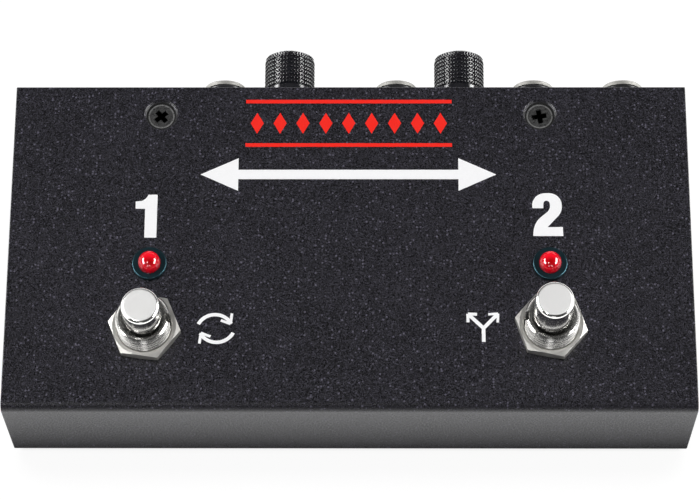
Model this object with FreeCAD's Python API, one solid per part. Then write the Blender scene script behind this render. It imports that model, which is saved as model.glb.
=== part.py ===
import FreeCAD, Part
import math
import os

from FreeCAD import Vector

# An A/B/Y foot switch box: a folded sheet-steel case with two footswitches, two lamps,
# two level knobs, four quarter-inch jacks and a power inlet, and the board inside.
# Millimetres, +Z up, +X right, +Y to the rear. Every Y below is measured from the front
# face and every Z from the floor. The finished solids are moved so that the origin is the
# bottom centre of the whole object.

X_AXIS = Vector(1, 0, 0)
Y_AXIS = Vector(0, 1, 0)
Z_AXIS = Vector(0, 0, 1)

# How far a cutting tool runs past what it cuts, and how closely edges are matched
cut_past = 1.0
match = 0.001

# Case
box_width = 152.0
box_depth = 77.5
box_height = 28.5
sheet = 1.5
bend_radius = 2.0
edge_round = 0.25
seam = 0.3
flange_depth = 13.0
joggle_start = 14.0
corner_relief = 3.0
foot_height = 3.5
foot_radius = 5.0
foot_taper = 0.8
foot_x = 66.0
front_foot_y = 8.0
rear_foot_inset = 11.5

# Fasteners
m3_radius = 1.5
hole_clearance = 0.15
thread_fit = 0.02
thread_crest_share = 0.3
nut_bore_edge = 0.3
nut_chamfer_angle = 18.0
panel_fit = 0.1
weld_nut_size = 9.0
weld_nut_thickness = 2.5
cover_screw_x = 42.85
cover_screw_inset = 7.0
cover_screw_length = 6.0
cover_screw_turns = (40.0, 10.0)
countersink_radius = 3.85
flat_head_radius = 2.95
head_seat_gap = 0.03
dimple_depth = 1.1
dimple_wall = 1.75
bottom_screw_x = 50.0
bottom_screw_inset = 7.5
bottom_screw_length = 5.0
bottom_screw_turn = 45.0
pan_head_radius = 2.8
pan_head_height = 1.9
pan_head_edge = 0.6
recess_reach = 1.75
recess_half_width = 0.58
recess_floor_reach = 0.9
recess_floor_half_width = 0.4
recess_depth = 1.3

# Circuit board
board_thickness = 1.6
board_side_gap = 1.2
board_front = 3.0
board_rear_gap = 1.0
board_to_axis = 6.35
board_screw_grip = 3.5
board_screw_turn = 20.0
standoff_x = 66.0
standoff_ys = (22.0, 46.0)
standoff_radius = 2.6
leg_radius = 0.35
leg_clearance = 0.1
leg_stub = 1.0

# Footswitches: the left one is shown latched down, the right one released
switch_places = ((-45.0, 18.7), (44.25, 19.2))
plunger_radius = 4.25
plunger_rise = 17.0
plunger_edge = 0.9
plunger_travel = 3.3
latch_drop = 2.3
running_gap = 0.05
shoulder_overhang = 1.15
shoulder_thickness = 1.5
bushing_radius = 6.0
bushing_rise = 7.3
bushing_edge = 0.4
bushing_mouth_gap = 0.35
bushing_mouth_depth = 2.5
bushing_mouth_edge = 0.2
bushing_thread_pitch = 1.0
bushing_thread_depth = 0.3
keyway_width = 2.0
keyway_depth = 1.0
switch_nut_wall = 1.0
switch_nut_thickness = 2.3
switch_nut_turns = (172.2, 169.0)
inner_nut_thickness = 2.0
inner_nut_turn = 0.0
lock_washer_thickness = 0.5
lock_washer_rim = 2.2
switch_size = 17.0
frame_plate = 1.5
frame_drop = 3.0
housing_floor_thickness = 1.6
bridge_drop = 3.0
bridge_rim = 0.5
bridge_thickness = 0.5
contact_stem_radius = 1.6
post_spacing = 3.3
post_radius = 0.6
spring_radius = 1.8
spring_wire = 0.4
spring_turns = 4

# Lamps
lamp_x = 44.4
lamp_y = 34.0
lamp_radius = 2.5
lamp_length = 8.6
lamp_rim_radius = 2.9
lamp_rim_height = 1.0
lamp_stand_out = 0.3
lamp_leg_spacing = 2.54
bezel_wall = 0.25
bezel_rim = 0.6
bezel_height = 1.0
bezel_edge = 0.2
bezel_barrel_length = 7.3
clip_ring_wall = 0.9

# Rear panel: quarter-inch jacks
jack_xs = (-29.2, 10.5, 42.2, 62.9)
jack_reach = 6.35
jack_lip = 1.0
jack_edge = 0.25
jack_bore_radius = 3.25
jack_sleeve_wall = 0.5
jack_sleeve_length = 16.0
jack_nose_wall = 0.95
jack_thread_pitch = 0.8
jack_thread_depth = 0.25
jack_plug_depth = 31.5
jack_cavity_gap = 0.2
jack_back_wall = 1.2
jack_body_width = 15.6
jack_body_height = 12.5
jack_washer_rim = 2.3
jack_washer_thickness = 0.5
jack_nut_wall = 1.65
jack_nut_thickness = 2.2
jack_nut_turn = 30.0
contact_gap = 0.25
contact_thickness = 0.4
contact_width = 2.0
contact_reach = 9.0
contact_bend = 0.6
contact_foot = 1.2
contact_legs_behind = (1.0, 2.4)

# Rear panel: level controls and their knobs
control_xs = (-14.3, 25.1)
pot_width = 9.8
pot_depth = 7.0
pot_height = 11.5
pot_wall = 1.2
pot_shaft_radius = 3.0
pot_bushing_wall = 0.45
pot_thread_pitch = 0.75
pot_thread_depth = 0.2
pot_washer_rim = 1.5
pot_washer_thickness = 0.4
pot_nut_wall = 1.0
pot_nut_thickness = 1.7
pot_nut_turn = 0.0
pot_leg_spacing = 2.5
rotor_rim = 0.9
rotor_gap = 0.3
rotor_thickness = 2.0
knob_radius = 5.8
knob_reach = 14.0
knob_start = 2.9
knob_collar = 2.1
knob_collar_edge = 0.2
knob_groove = 0.3
knob_groove_depth = 0.5
knob_flutes = 48
knob_flute_depth = 0.25
knob_end_lip = 1.1
knob_end_wall = 2.0
shaft_end_gap = 0.1
pointer_width = 0.8
pointer_depth = 0.4
pointer_start = 1.0
set_screw_radius = 1.25
set_screw_from_start = 5.2
set_screw_sink = 0.6
set_screw_socket = 1.2
set_screw_socket_depth = 0.9

# Rear panel: power inlet
inlet_x = -58.0
inlet_width = 9.0
inlet_depth = 14.0
inlet_height = 10.9
inlet_stand_out = 0.4
inlet_bore_radius = 3.15
inlet_bore_depth = 9.5
inlet_wall = 1.25
inlet_pin_radius = 1.05
inlet_pin_edge = 0.4
inlet_pin_inset = 1.9
inlet_tail = 1.2
inlet_leg_radius = 0.5

# Parts standing on the board
relay_xs = (-30.0, -6.0, 18.0)
relay_length = 15.0
relay_width = 7.5
relay_height = 10.0
relay_gap = 1.0
relay_leg_inset = 1.3
relay_legs_per_row = 4
transformer_x = 6.0
transformer_gap = 1.5
transformer_length = 20.0
transformer_depth = 8.0
transformer_height = 16.0
transformer_iron = 4.0
transformer_base_height = 1.2
transformer_leg_inset = 2.0
winding_gap = 0.3
winding_bulge = 2.0
winding_round = 1.2
chip_xs = (-14.0, 2.0, 18.0)
chip_y = 21.0
chip_length = 9.6
chip_width = 6.4
chip_height = 3.3
small_can_radius = 2.5
small_can_height = 8.0
small_can_places = ((-16.0, 36.0), (30.0, 32.0))
large_can_radius = 3.2
large_can_height = 11.0
large_can_places = ((-66.0, 34.0), (-57.0, 46.0), (-46.0, 58.0))
can_leg_spacing = 2.5
resistor_radius = 1.2
resistor_length = 6.0
resistor_pitch = 8.0
resistor_count = 8
resistor_y = 13.0
moulded_edge = 0.5

# Values that follow from the ones above
half_width = box_width / 2
box_bottom = foot_height
box_top = box_bottom + box_height
axis_z = box_bottom + box_height / 2
inner_bend = bend_radius - sheet
wall_outer_x = half_width - seam
wall_inner_x = wall_outer_x - sheet
wall_top = box_top - sheet - seam
panel_inner_y = box_depth - sheet
cover_low = box_top - sheet
flange_low = cover_low - sheet
floor_z = box_bottom + sheet
strip_z = floor_z + sheet
cover_screw_y = box_depth - cover_screw_inset
screw_hole_radius = m3_radius + hole_clearance
screw_bore_radius = m3_radius + thread_fit
dimple_radius = screw_hole_radius + dimple_wall
bottom_screw_ys = (bottom_screw_inset, box_depth - bottom_screw_inset)
foot_ys = (front_foot_y, box_depth - rear_foot_inset)
board_top = axis_z - board_to_axis
board_low = board_top - board_thickness
frame_top = cover_low - frame_drop
frame_low = frame_top - frame_plate
housing_floor = board_top + housing_floor_thickness
switch_bore_radius = plunger_radius + running_gap
shoulder_radius = plunger_radius + shoulder_overhang
bridge_radius = post_spacing + post_radius + bridge_rim
lamp_low = box_top + bezel_height + lamp_stand_out + lamp_radius - lamp_length
bezel_bore_radius = lamp_radius + running_gap
bezel_seat_radius = lamp_rim_radius + running_gap
bezel_barrel_radius = bezel_seat_radius + bezel_wall
jack_sleeve_radius = jack_bore_radius + jack_sleeve_wall
jack_nose_radius = jack_sleeve_radius + jack_nose_wall
jack_end_y = box_depth + jack_reach
jack_deep_y = jack_end_y - jack_plug_depth
contact_outer = jack_bore_radius + contact_gap + contact_thickness
jack_cavity_radius = math.hypot(contact_outer, contact_width / 2) + jack_cavity_gap
jack_back_y = jack_deep_y - jack_back_wall
pot_bore_radius = pot_shaft_radius + running_gap
pot_bushing_radius = pot_bore_radius + pot_bushing_wall
pot_back_y = panel_inner_y - pot_depth
rotor_radius = pot_shaft_radius + rotor_rim
rotor_y = pot_back_y + pot_wall + rotor_gap
knob_start_y = box_depth + knob_start
knob_end_y = box_depth + knob_reach
pot_bushing_end_y = knob_start_y - seam
inlet_nose_radius = inlet_bore_radius + inlet_wall
inlet_back_y = panel_inner_y - inlet_depth
relay_y = jack_back_y - max(contact_legs_behind) - relay_gap - relay_width / 2
transformer_y = relay_y - relay_width / 2 - transformer_gap - winding_bulge - transformer_depth / 2
transformer_low = board_top + transformer_base_height
switches = [
    {"name": name, "x": place[0], "y": place[1], "drop": drop, "nut_turn": nut_turn, "key_turn": key_turn}
    for name, place, drop, nut_turn, key_turn in zip(
        ("1", "2"), switch_places, (latch_drop, 0), switch_nut_turns, (0, 180),
    )
]
lamp_xs = (-lamp_x, lamp_x)
board_holes = []


def box(low, high):
    """A block between two opposite corners."""
    return Part.makeBox(high[0] - low[0], high[1] - low[1], high[2] - low[2], Vector(*low))


def rod(radius, start, end):
    """A round bar between two points."""
    start = Vector(*start)
    along = Vector(*end) - start
    return Part.makeCylinder(radius, along.Length, start, along)


def pillar(radius, x, y, low, high):
    """An upright round bar."""
    return rod(radius, (x, y, low), (x, y, high))


def spindle(radius, x, front, rear):
    """A round bar along Y at the height of the rear panel's row."""
    return rod(radius, (x, front, axis_z), (x, rear, axis_z))


def turned(profile, base, axis):
    """A solid of revolution. The profile is a list of (radius, distance along the axis)."""
    base = Vector(*base)
    points = [base + X_AXIS * radius + axis * along for radius, along in profile]
    return Part.Face(Part.makePolygon(points + [points[0]])).revolve(base, axis, 360)


def drilled(shape, tools):
    """A shape with all the tools cut out of it at once."""
    return shape.cut(Part.makeCompound(tools))


def thread_profile(radius, depth, pitch, start, end):
    """The outline of a thread, drawn as rings, from one end of a turned part to the other."""
    count = max(1, int((end - start) / pitch))
    step = (end - start) / count
    points = [(radius - depth, start)]
    for ring in range(count):
        points.append((radius, start + step * (ring + 0.5 - thread_crest_share / 2)))
        points.append((radius, start + step * (ring + 0.5 + thread_crest_share / 2)))
        points.append((radius - depth, start + step * (ring + 1)))
    return points


def hex_nut(thread_radius, wall, thickness, base, axis, turn):
    """A chamfered hexagon nut. The wall is the least metal beside the thread."""
    bore = thread_radius + thread_fit
    flat = thread_radius + wall
    corner = flat / math.cos(math.radians(30))
    chamfer = (corner - flat) * math.tan(math.radians(nut_chamfer_angle))
    outline = [(bore, nut_bore_edge), (bore + nut_bore_edge, 0), (flat, 0), (corner, chamfer)]
    outline += [(corner, thickness - chamfer), (flat, thickness)]
    outline += [(bore + nut_bore_edge, thickness), (bore, thickness - nut_bore_edge)]
    angles = [math.radians(turn + 60 * side) for side in range(7)]
    hexagon = Part.makePolygon([Vector(math.cos(a), math.sin(a), 0) * corner for a in angles])
    prism = Part.Face(hexagon).extrude(Z_AXIS * thickness)
    nut = turned(outline, (0, 0, 0), Z_AXIS).common(prism)
    nut.Placement = FreeCAD.Placement(Vector(*base), FreeCAD.Rotation(Z_AXIS, axis))
    return nut


def rounded_edges(points, radii):
    """The edges of an open polyline whose inner corners are rounded."""
    edges = []
    start = points[0]
    for before, corner, after, radius in zip(points, points[1:], points[2:], radii):
        inward = (before - corner).normalize()
        outward = (after - corner).normalize()
        half_angle = inward.getAngle(outward) / 2
        arc_start = corner + inward * (radius / math.tan(half_angle))
        arc_end = corner + outward * (radius / math.tan(half_angle))
        to_centre = (inward + outward).normalize()
        arc_middle = corner + to_centre * (radius / math.sin(half_angle) - radius)
        edges.append(Part.LineSegment(start, arc_start).toShape())
        edges.append(Part.Arc(arc_start, arc_middle, arc_end).toShape())
        start = arc_end
    edges.append(Part.LineSegment(start, points[-1]).toShape())
    return edges


def folded_sheet(path, normal, thickness, outside_radius, extrusion):
    """A sheet folded along a path. It lies to the path's left, where the normal points up."""
    points = [Vector(*point) for point in path]
    steps = [(after - before).normalize() for before, after in zip(points, points[1:])]
    lefts = [normal.cross(step) for step in steps]
    offset = [points[0] + lefts[0] * thickness]
    path_radii = []
    offset_radii = []
    for corner, before, after in zip(points[1:], lefts, lefts[1:]):
        offset.append(corner + (before + after) * (thickness / (1 + before.dot(after))))
        turns_left = before.cross(after).dot(normal) > 0
        path_radii.append(outside_radius if turns_left else outside_radius - thickness)
        offset_radii.append(outside_radius - thickness if turns_left else outside_radius)
    offset.append(points[-1] + lefts[-1] * thickness)
    edges = rounded_edges(points, path_radii)
    edges.append(Part.LineSegment(points[-1], offset[-1]).toShape())
    edges += rounded_edges(offset[::-1], offset_radii[::-1])
    edges.append(Part.LineSegment(offset[0], points[0]).toShape())
    return Part.Face(Part.Wire(Part.__sortEdges__(edges))).extrude(extrusion)


def leg(x, y, top, radius=leg_radius):
    """A round leg soldered through the circuit board, which notes the hole that it needs."""
    board_holes.append((x, y, radius + leg_clearance))
    return pillar(radius, x, y, board_low - leg_stub, top)


def cross_recess(x, y, top, turn, up=1):
    """The tapered cross in a screw head, to be cut from the head."""
    mouth = (recess_reach, recess_half_width, 0)
    bottom = (recess_floor_reach, recess_floor_half_width, -recess_depth * up)
    arms = []
    for angle in (turn, turn + 90):
        outlines = []
        for reach, half, z in (mouth, bottom):
            corners = [(-reach, -half), (reach, -half), (reach, half), (-reach, half)]
            points = [Vector(across, along, z) for across, along in corners]
            outlines.append(Part.makePolygon(points + [points[0]]))
        arm = Part.makeLoft(outlines, True, True)
        arm.rotate(Vector(0, 0, 0), Z_AXIS, angle)
        arm.translate(Vector(x, y, top))
        arms.append(arm)
    return arms[0].fuse(arms[1])


def pan_screw(x, y, seat, length, turn, up=1):
    """A domed cross-head screw whose head sits on a face. It points down, or up where up is -1."""
    head = pan_head_height * up
    edge = pan_head_edge * up
    outline = [(0, -length * up), (m3_radius, -length * up), (m3_radius, 0), (pan_head_radius, 0)]
    outline += [(pan_head_radius, head - edge), (pan_head_radius - pan_head_edge, head), (0, head)]
    screw = turned(outline, (x, y, seat), Z_AXIS)
    return screw.cut(cross_recess(x, y, seat + head, turn, up))


def edges_at(shape, height):
    """The edges of a shape that lie in one level plane."""
    return [
        edge for edge in shape.Edges
        if abs(edge.BoundBox.ZMin - height) < match and abs(edge.BoundBox.ZMax - height) < match
    ]


def save(name, *solids):
    """Writes one node, moved so that the origin is the bottom centre of the whole object."""
    shape = solids[0] if len(solids) == 1 else Part.makeCompound(list(solids))
    if len(shape.Solids) == 1:
        shape = shape.Solids[0]
    shape = shape.copy()
    shape.translate(Vector(0, -(box_depth + knob_reach) / 2, 0))
    shape.exportStep("parts/" + name + ".step")
    print(name, len(shape.Solids), "valid" if shape.isValid() else "NOT VALID")


# Case


def top_cover():
    """Top, front face and front lip in one folded sheet, with the dimples for its screws."""
    path = [(0, box_depth, box_top), (0, 0, box_top)]
    path += [(0, 0, box_bottom), (0, flange_depth, box_bottom)]
    cover = folded_sheet(path, X_AXIS, sheet, bend_radius, X_AXIS * box_width)
    cover.translate(X_AXIS * -half_width)
    rim = [
        edge for edge in cover.Edges
        if edge.BoundBox.XLength < match or edge.BoundBox.YMin > box_depth - match
    ]
    cover = cover.makeFillet(edge_round, rim)
    holes = []
    for side in (-1, 1):
        x = side * cover_screw_x
        dimple = pillar(dimple_radius, x, cover_screw_y, cover_low - dimple_depth, cover_low)
        cover = cover.fuse(dimple)
        through = sheet + dimple_depth
        sink = countersink_radius - screw_hole_radius
        outline = [(0, 0), (countersink_radius, 0), (screw_hole_radius, -sink)]
        outline += [(screw_hole_radius, -through), (0, -through)]
        holes.append(turned(outline, (x, cover_screw_y, box_top), Z_AXIS))
        x = side * bottom_screw_x
        holes.append(pillar(screw_hole_radius, x, bottom_screw_inset, box_bottom, floor_z))
        x = side * lamp_x
        holes.append(pillar(bezel_barrel_radius + panel_fit, x, lamp_y, cover_low, box_top))
    for x, y in switch_places:
        holes.append(pillar(bushing_radius + panel_fit, x, y, cover_low, box_top))
    return drilled(cover, holes)


def base_tray():
    """The bottom, raised along its front edge to lie on the cover's lip, and both side walls."""
    walls_start = joggle_start + sheet
    walls_length = panel_inner_y - seam - walls_start
    outline = [(-wall_outer_x, walls_start, wall_top), (-wall_outer_x, walls_start, box_bottom)]
    outline += [(wall_outer_x, walls_start, box_bottom), (wall_outer_x, walls_start, wall_top)]
    tray = folded_sheet(outline, -Y_AXIS, sheet, bend_radius, Y_AXIS * walls_length)
    strip_half = wall_inner_x - corner_relief
    strip_path = [(0, bend_radius + seam, floor_z), (0, joggle_start, floor_z)]
    strip_path += [(0, walls_start, box_bottom), (0, walls_start + 2 * bend_radius, box_bottom)]
    strip = folded_sheet(strip_path, X_AXIS, sheet, bend_radius, X_AXIS * (2 * strip_half))
    strip.translate(X_AXIS * -strip_half)
    tail_start = walls_start + walls_length - seam
    tail = box((-strip_half, tail_start, box_bottom), (strip_half, box_depth - seam, floor_z))
    tray = tray.fuse([strip, tail])
    holes = []
    for side in (-1, 1):
        low_x = min(side * wall_inner_x, side * wall_outer_x)
        wall = box((low_x, sheet + seam, floor_z + seam), (low_x + sheet, walls_start, wall_top))
        tray = tray.fuse(wall)
        for y in bottom_screw_ys:
            holes.append(pillar(screw_hole_radius, side * bottom_screw_x, y, box_bottom, strip_z))
    return drilled(tray, holes).removeSplitter()


def rear_panel():
    """The rear face with an upper flange under the cover and a lower one on the tray."""
    front_y = box_depth - flange_depth
    path = [(0, front_y, floor_z), (0, box_depth, floor_z)]
    path += [(0, box_depth, cover_low), (0, front_y, cover_low)]
    flange_half = wall_inner_x - inner_bend - seam
    panel = folded_sheet(path, X_AXIS, sheet, bend_radius, X_AXIS * (2 * flange_half))
    panel.translate(X_AXIS * -flange_half)
    face_low = (-wall_outer_x, panel_inner_y, floor_z + bend_radius)
    face_high = (wall_outer_x, box_depth, cover_low - bend_radius)
    panel = panel.fuse(box(face_low, face_high))
    holes = []
    for side in (-1, 1):
        x = side * cover_screw_x
        holes.append(pillar(dimple_radius + 2 * panel_fit, x, cover_screw_y, flange_low, cover_low))
        x = side * bottom_screw_x
        holes.append(pillar(screw_hole_radius, x, bottom_screw_ys[1], floor_z, strip_z))
    noses = [(x, jack_nose_radius) for x in jack_xs]
    noses += [(x, pot_bushing_radius) for x in control_xs]
    noses.append((inlet_x, inlet_nose_radius))
    holes += [spindle(radius + panel_fit, x, panel_inner_y, box_depth) for x, radius in noses]
    return drilled(panel, holes).removeSplitter()


def rubber_feet():
    """Four tapered feet: two on the cover's lip and two on the tray."""
    outline = [(0, 0), (foot_radius - foot_taper, 0), (foot_radius, foot_height), (0, foot_height)]
    return [turned(outline, (x, y, 0), Z_AXIS) for x in (-foot_x, foot_x) for y in foot_ys]


def weld_nuts():
    """Square nuts welded over the screw holes, inside the case."""
    low = flange_low - weld_nut_thickness
    places = [(x, cover_screw_y, low) for x in (-cover_screw_x, cover_screw_x)]
    places += [(x, y, strip_z) for x in (-bottom_screw_x, bottom_screw_x) for y in bottom_screw_ys]
    half = weld_nut_size / 2
    nuts = []
    for x, y, low in places:
        high = low + weld_nut_thickness
        block = box((x - half, y - half, low), (x + half, y + half, high))
        nuts.append(block.cut(pillar(screw_bore_radius, x, y, low, high)))
    return nuts


def cover_screws():
    """Two countersunk screws, each sunk a little below the cover's face."""
    sink = countersink_radius - flat_head_radius - head_seat_gap
    head_height = flat_head_radius - m3_radius
    outline = [(0, 0), (flat_head_radius, 0), (m3_radius, -head_height)]
    outline += [(m3_radius, -cover_screw_length), (0, -cover_screw_length)]
    screws = []
    for x, turn in zip((-cover_screw_x, cover_screw_x), cover_screw_turns):
        screw = turned(outline, (x, cover_screw_y, box_top - sink), Z_AXIS)
        screws.append(screw.cut(cross_recess(x, cover_screw_y, box_top - sink, turn)))
    return screws


def bottom_screws():
    """Four domed screws driven up through the bottom."""
    return [
        pan_screw(x, y, box_bottom, bottom_screw_length, bottom_screw_turn, -1)
        for x in (-bottom_screw_x, bottom_screw_x) for y in bottom_screw_ys
    ]


# Footswitches


def plunger_low(switch):
    """The height of the underside of the plunger's shoulder."""
    return frame_low - running_gap - shoulder_thickness - switch["drop"]


def bridge_low(switch):
    """The height of the underside of the moving contact."""
    return plunger_low(switch) - bridge_drop - bridge_thickness


def switch_frame(switch):
    """The metal frame plate with the threaded bushing standing on it and a keyway in its side."""
    x, y = switch["x"], switch["y"]
    rise = box_top + bushing_rise - frame_low
    mouth_radius = switch_bore_radius + bushing_mouth_gap
    edge = min(bushing_edge, (bushing_radius - mouth_radius) / 4)
    outline = [(switch_bore_radius, 0)]
    threaded = rise - edge
    outline += thread_profile(bushing_radius, bushing_thread_depth, bushing_thread_pitch, 0, threaded)
    outline += [(bushing_radius - 2 * edge, rise), (mouth_radius + bushing_mouth_edge, rise)]
    outline += [(mouth_radius, rise - bushing_mouth_edge), (mouth_radius, rise - bushing_mouth_depth)]
    outline.append((switch_bore_radius, rise - bushing_mouth_depth))
    bushing = turned(outline, (x, y, frame_low), Z_AXIS)
    half = switch_size / 2
    plate = box((x - half, y - half, frame_low), (x + half, y + half, frame_top))
    plate = plate.cut(pillar(switch_bore_radius, x, y, frame_low, frame_top))
    keyway_low = (bushing_radius - keyway_depth, -keyway_width / 2, frame_plate)
    keyway = box(keyway_low, (bushing_radius + cut_past, keyway_width / 2, rise + cut_past))
    keyway.rotate(Vector(0, 0, 0), Z_AXIS, switch["key_turn"])
    keyway.translate(Vector(x, y, frame_low))
    return plate.fuse(bushing).cut(keyway).removeSplitter()


def switch_housing(switch):
    """The moulded housing under the frame, with its round cavity and holes for the posts."""
    x, y = switch["x"], switch["y"]
    half = switch_size / 2
    block = box((x - half, y - half, board_top), (x + half, y + half, frame_low))
    holes = [pillar(shoulder_radius + seam, x, y, housing_floor, frame_low)]
    for post_x in (x - post_spacing, x + post_spacing):
        holes.append(pillar(post_radius + thread_fit, post_x, y, board_top, housing_floor))
    return drilled(block, holes)


def switch_plunger(switch):
    """The pressed button: a round rod with a softened top edge and a shoulder at its foot."""
    low = plunger_low(switch)
    top = box_top + plunger_rise - switch["drop"]
    outline = [(0, 0), (shoulder_radius, 0), (shoulder_radius, shoulder_thickness)]
    outline += [(plunger_radius, shoulder_thickness), (plunger_radius, top - low), (0, top - low)]
    body = turned(outline, (switch["x"], switch["y"], low), Z_AXIS)
    return body.makeFillet(plunger_edge, edges_at(body, top))


def contact_bridge(switch):
    """The moving contact under the plunger: a disc on a short stem."""
    x, y = switch["x"], switch["y"]
    disc_low = bridge_low(switch)
    disc = pillar(bridge_radius, x, y, disc_low, disc_low + bridge_thickness)
    stem = pillar(contact_stem_radius, x, y, disc_low, plunger_low(switch))
    return disc.fuse(stem).removeSplitter()


def biarc(start, start_way, end, end_way):
    """Two tangent arcs from one point and direction to another."""
    chord = end - start
    along = chord.dot(start_way + end_way)
    spread = 2 * (1 - start_way.dot(end_way))
    reach = (math.sqrt(along * along + spread * chord.dot(chord)) - along) / spread
    first_corner = start + start_way * reach
    last_corner = end - end_way * reach
    middle = (first_corner + last_corner) * 0.5
    edges = []
    for first, corner, last in ((start, first_corner, middle), (middle, last_corner, end)):
        half_chord = (first + last) * 0.5
        half_length = (last - first).Length / 2
        height = (corner - half_chord).Length
        sagitta = half_length * math.tan(math.atan2(height, half_length) / 2)
        bulge = (corner - half_chord).normalize() * sagitta
        edges.append(Part.Arc(first, half_chord + bulge, last).toShape())
    return edges


def return_spring(switch):
    """The coil spring between the housing floor and the moving contact, in quarter turns."""
    height = bridge_low(switch) - housing_floor - spring_wire
    steps = spring_turns * 4
    centre = Vector(switch["x"], switch["y"], housing_floor + spring_wire / 2)
    rise = height / steps
    places = []
    ways = []
    for step in range(steps + 1):
        angle = math.pi / 2 * step
        outward = Vector(math.cos(angle), math.sin(angle), 0)
        around = Vector(-math.sin(angle), math.cos(angle), 0)
        places.append(centre + outward * spring_radius + Z_AXIS * (rise * step))
        ways.append((around * (spring_radius * math.pi / 2) + Z_AXIS * rise).normalize())
    edges = []
    for step in range(steps):
        edges += biarc(places[step], ways[step], places[step + 1], ways[step + 1])
    points = [edge.valueAt(edge.FirstParameter) for edge in edges]
    turn = len(edges) // spring_turns
    nearest = min((points[index + turn] - points[index]).Length for index in range(len(points) - turn))
    print("spring", switch["name"], "least gap between turns", round(nearest - spring_wire, 2), "mm")
    section = Part.Wire(Part.makeCircle(spring_wire / 2, places[0], ways[0]))
    return Part.Wire(edges).makePipeShell([section], True, False)


def contact_posts():
    """The fixed contacts: two posts in each housing, which the disc meets when pressed down."""
    released_low = frame_low - running_gap - shoulder_thickness - bridge_drop - bridge_thickness
    top = released_low - plunger_travel - running_gap
    return [
        leg(switch["x"] + side * post_spacing, switch["y"], top, post_radius)
        for switch in switches for side in (-1, 1)
    ]


def switch_nuts():
    """The thin hexagon nuts on top of the cover."""
    return [
        hex_nut(
            bushing_radius, switch_nut_wall, switch_nut_thickness,
            (switch["x"], switch["y"], box_top), Z_AXIS, switch["nut_turn"],
        )
        for switch in switches
    ]


def switch_inner_nuts():
    """The hexagon nuts under the cover, which set how far each bushing stands out."""
    low = cover_low - lock_washer_thickness - inner_nut_thickness
    return [
        hex_nut(
            bushing_radius, switch_nut_wall, inner_nut_thickness,
            (switch["x"], switch["y"], low), Z_AXIS, inner_nut_turn,
        )
        for switch in switches
    ]


def switch_lock_washers():
    """The washers between the inner nuts and the cover."""
    low = cover_low - lock_washer_thickness
    washers = []
    for x, y in switch_places:
        disc = pillar(bushing_radius + lock_washer_rim, x, y, low, cover_low)
        washers.append(disc.cut(pillar(bushing_radius + panel_fit, x, y, low, cover_low)))
    return washers


# Lamps


def lamp_bezel(x):
    """The lamp's holder: a flange with a softened edge on the cover and a barrel through it."""
    flange_radius = bezel_barrel_radius + bezel_rim
    seat = lamp_low + lamp_rim_height + running_gap - box_top
    outline = [(bezel_bore_radius, bezel_height), (flange_radius, bezel_height), (flange_radius, 0)]
    outline += [(bezel_barrel_radius, 0), (bezel_barrel_radius, -bezel_barrel_length)]
    outline += [(bezel_seat_radius, -bezel_barrel_length), (bezel_seat_radius, seat)]
    outline.append((bezel_bore_radius, seat))
    bezel = turned(outline, (x, lamp_y, box_top), Z_AXIS)
    top_edges = edges_at(bezel, box_top + bezel_height)
    rim = [edge for edge in top_edges if edge.BoundBox.XLength > 2 * lamp_rim_radius]
    return bezel.makeFillet(bezel_edge, rim)


def lamp(x):
    """A round-topped lamp with its rim."""
    straight = lamp_length - lamp_radius
    outline = [(0, 0), (lamp_rim_radius, 0), (lamp_rim_radius, lamp_rim_height)]
    outline += [(lamp_radius, lamp_rim_height), (lamp_radius, straight), (0, straight)]
    body = turned(outline, (x, lamp_y, lamp_low), Z_AXIS)
    dome = Part.makeSphere(lamp_radius, Vector(x, lamp_y, lamp_low + straight), Z_AXIS, 0, 90, 360)
    return body.fuse(dome).removeSplitter()


def lamp_legs():
    """Two legs under each lamp, down through the board."""
    half = lamp_leg_spacing / 2
    return [
        leg(x + side * half, lamp_y, lamp_low)
        for x in lamp_xs for side in (-1, 1)
    ]


def lamp_clip_rings():
    """The rings pushed up each barrel against the cover's underside."""
    low = box_top - bezel_barrel_length
    outer = bezel_barrel_radius + clip_ring_wall
    inner = bezel_barrel_radius + thread_fit
    rings = []
    for x in lamp_xs:
        disc = pillar(outer, x, lamp_y, low, cover_low)
        rings.append(disc.cut(pillar(inner, x, lamp_y, low, cover_low)))
    return rings


# Jacks


def contact_height(side):
    """The height of the middle of a jack's lower or upper contact."""
    return axis_z + side * (jack_bore_radius + contact_gap + contact_thickness / 2)


def jack_body(x):
    """The moulded body on the board with its threaded nose through the rear panel."""
    half = jack_body_width / 2
    bore = jack_sleeve_radius + running_gap
    nose_end = jack_reach - jack_lip
    sleeve_end_y = jack_end_y - jack_sleeve_length
    outline = [(bore, -sheet)]
    outline += thread_profile(jack_nose_radius, jack_thread_depth, jack_thread_pitch, -sheet, nose_end)
    outline.append((bore, nose_end))
    nose = turned(outline, (x, box_depth, axis_z), Y_AXIS)
    high = board_top + jack_body_height
    block = box((x - half, jack_back_y, board_top), (x + half, panel_inner_y, high))
    holes = [spindle(bore, x, sleeve_end_y, panel_inner_y)]
    holes.append(spindle(jack_cavity_radius, x, jack_deep_y, sleeve_end_y))
    for side in (-1, 1):
        across = contact_width / 2 + hole_clearance
        upright = contact_thickness / 2 + hole_clearance
        slot_low = (x - across, jack_back_y, contact_height(side) - upright)
        holes.append(box(slot_low, (x + across, jack_deep_y, contact_height(side) + upright)))
    return drilled(block, holes).fuse(nose).removeSplitter()


def jack_sleeve(x):
    """The bright metal sleeve that takes the plug, with the lip that shows behind the panel."""
    outline = [(jack_bore_radius, -jack_sleeve_length), (jack_sleeve_radius, -jack_sleeve_length)]
    outline += [(jack_sleeve_radius, -jack_lip), (jack_nose_radius, -jack_lip)]
    outline += [(jack_nose_radius, -jack_edge), (jack_nose_radius - jack_edge, 0)]
    outline.append((jack_bore_radius, 0))
    return turned(outline, (x, jack_end_y, axis_z), Y_AXIS)


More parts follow.
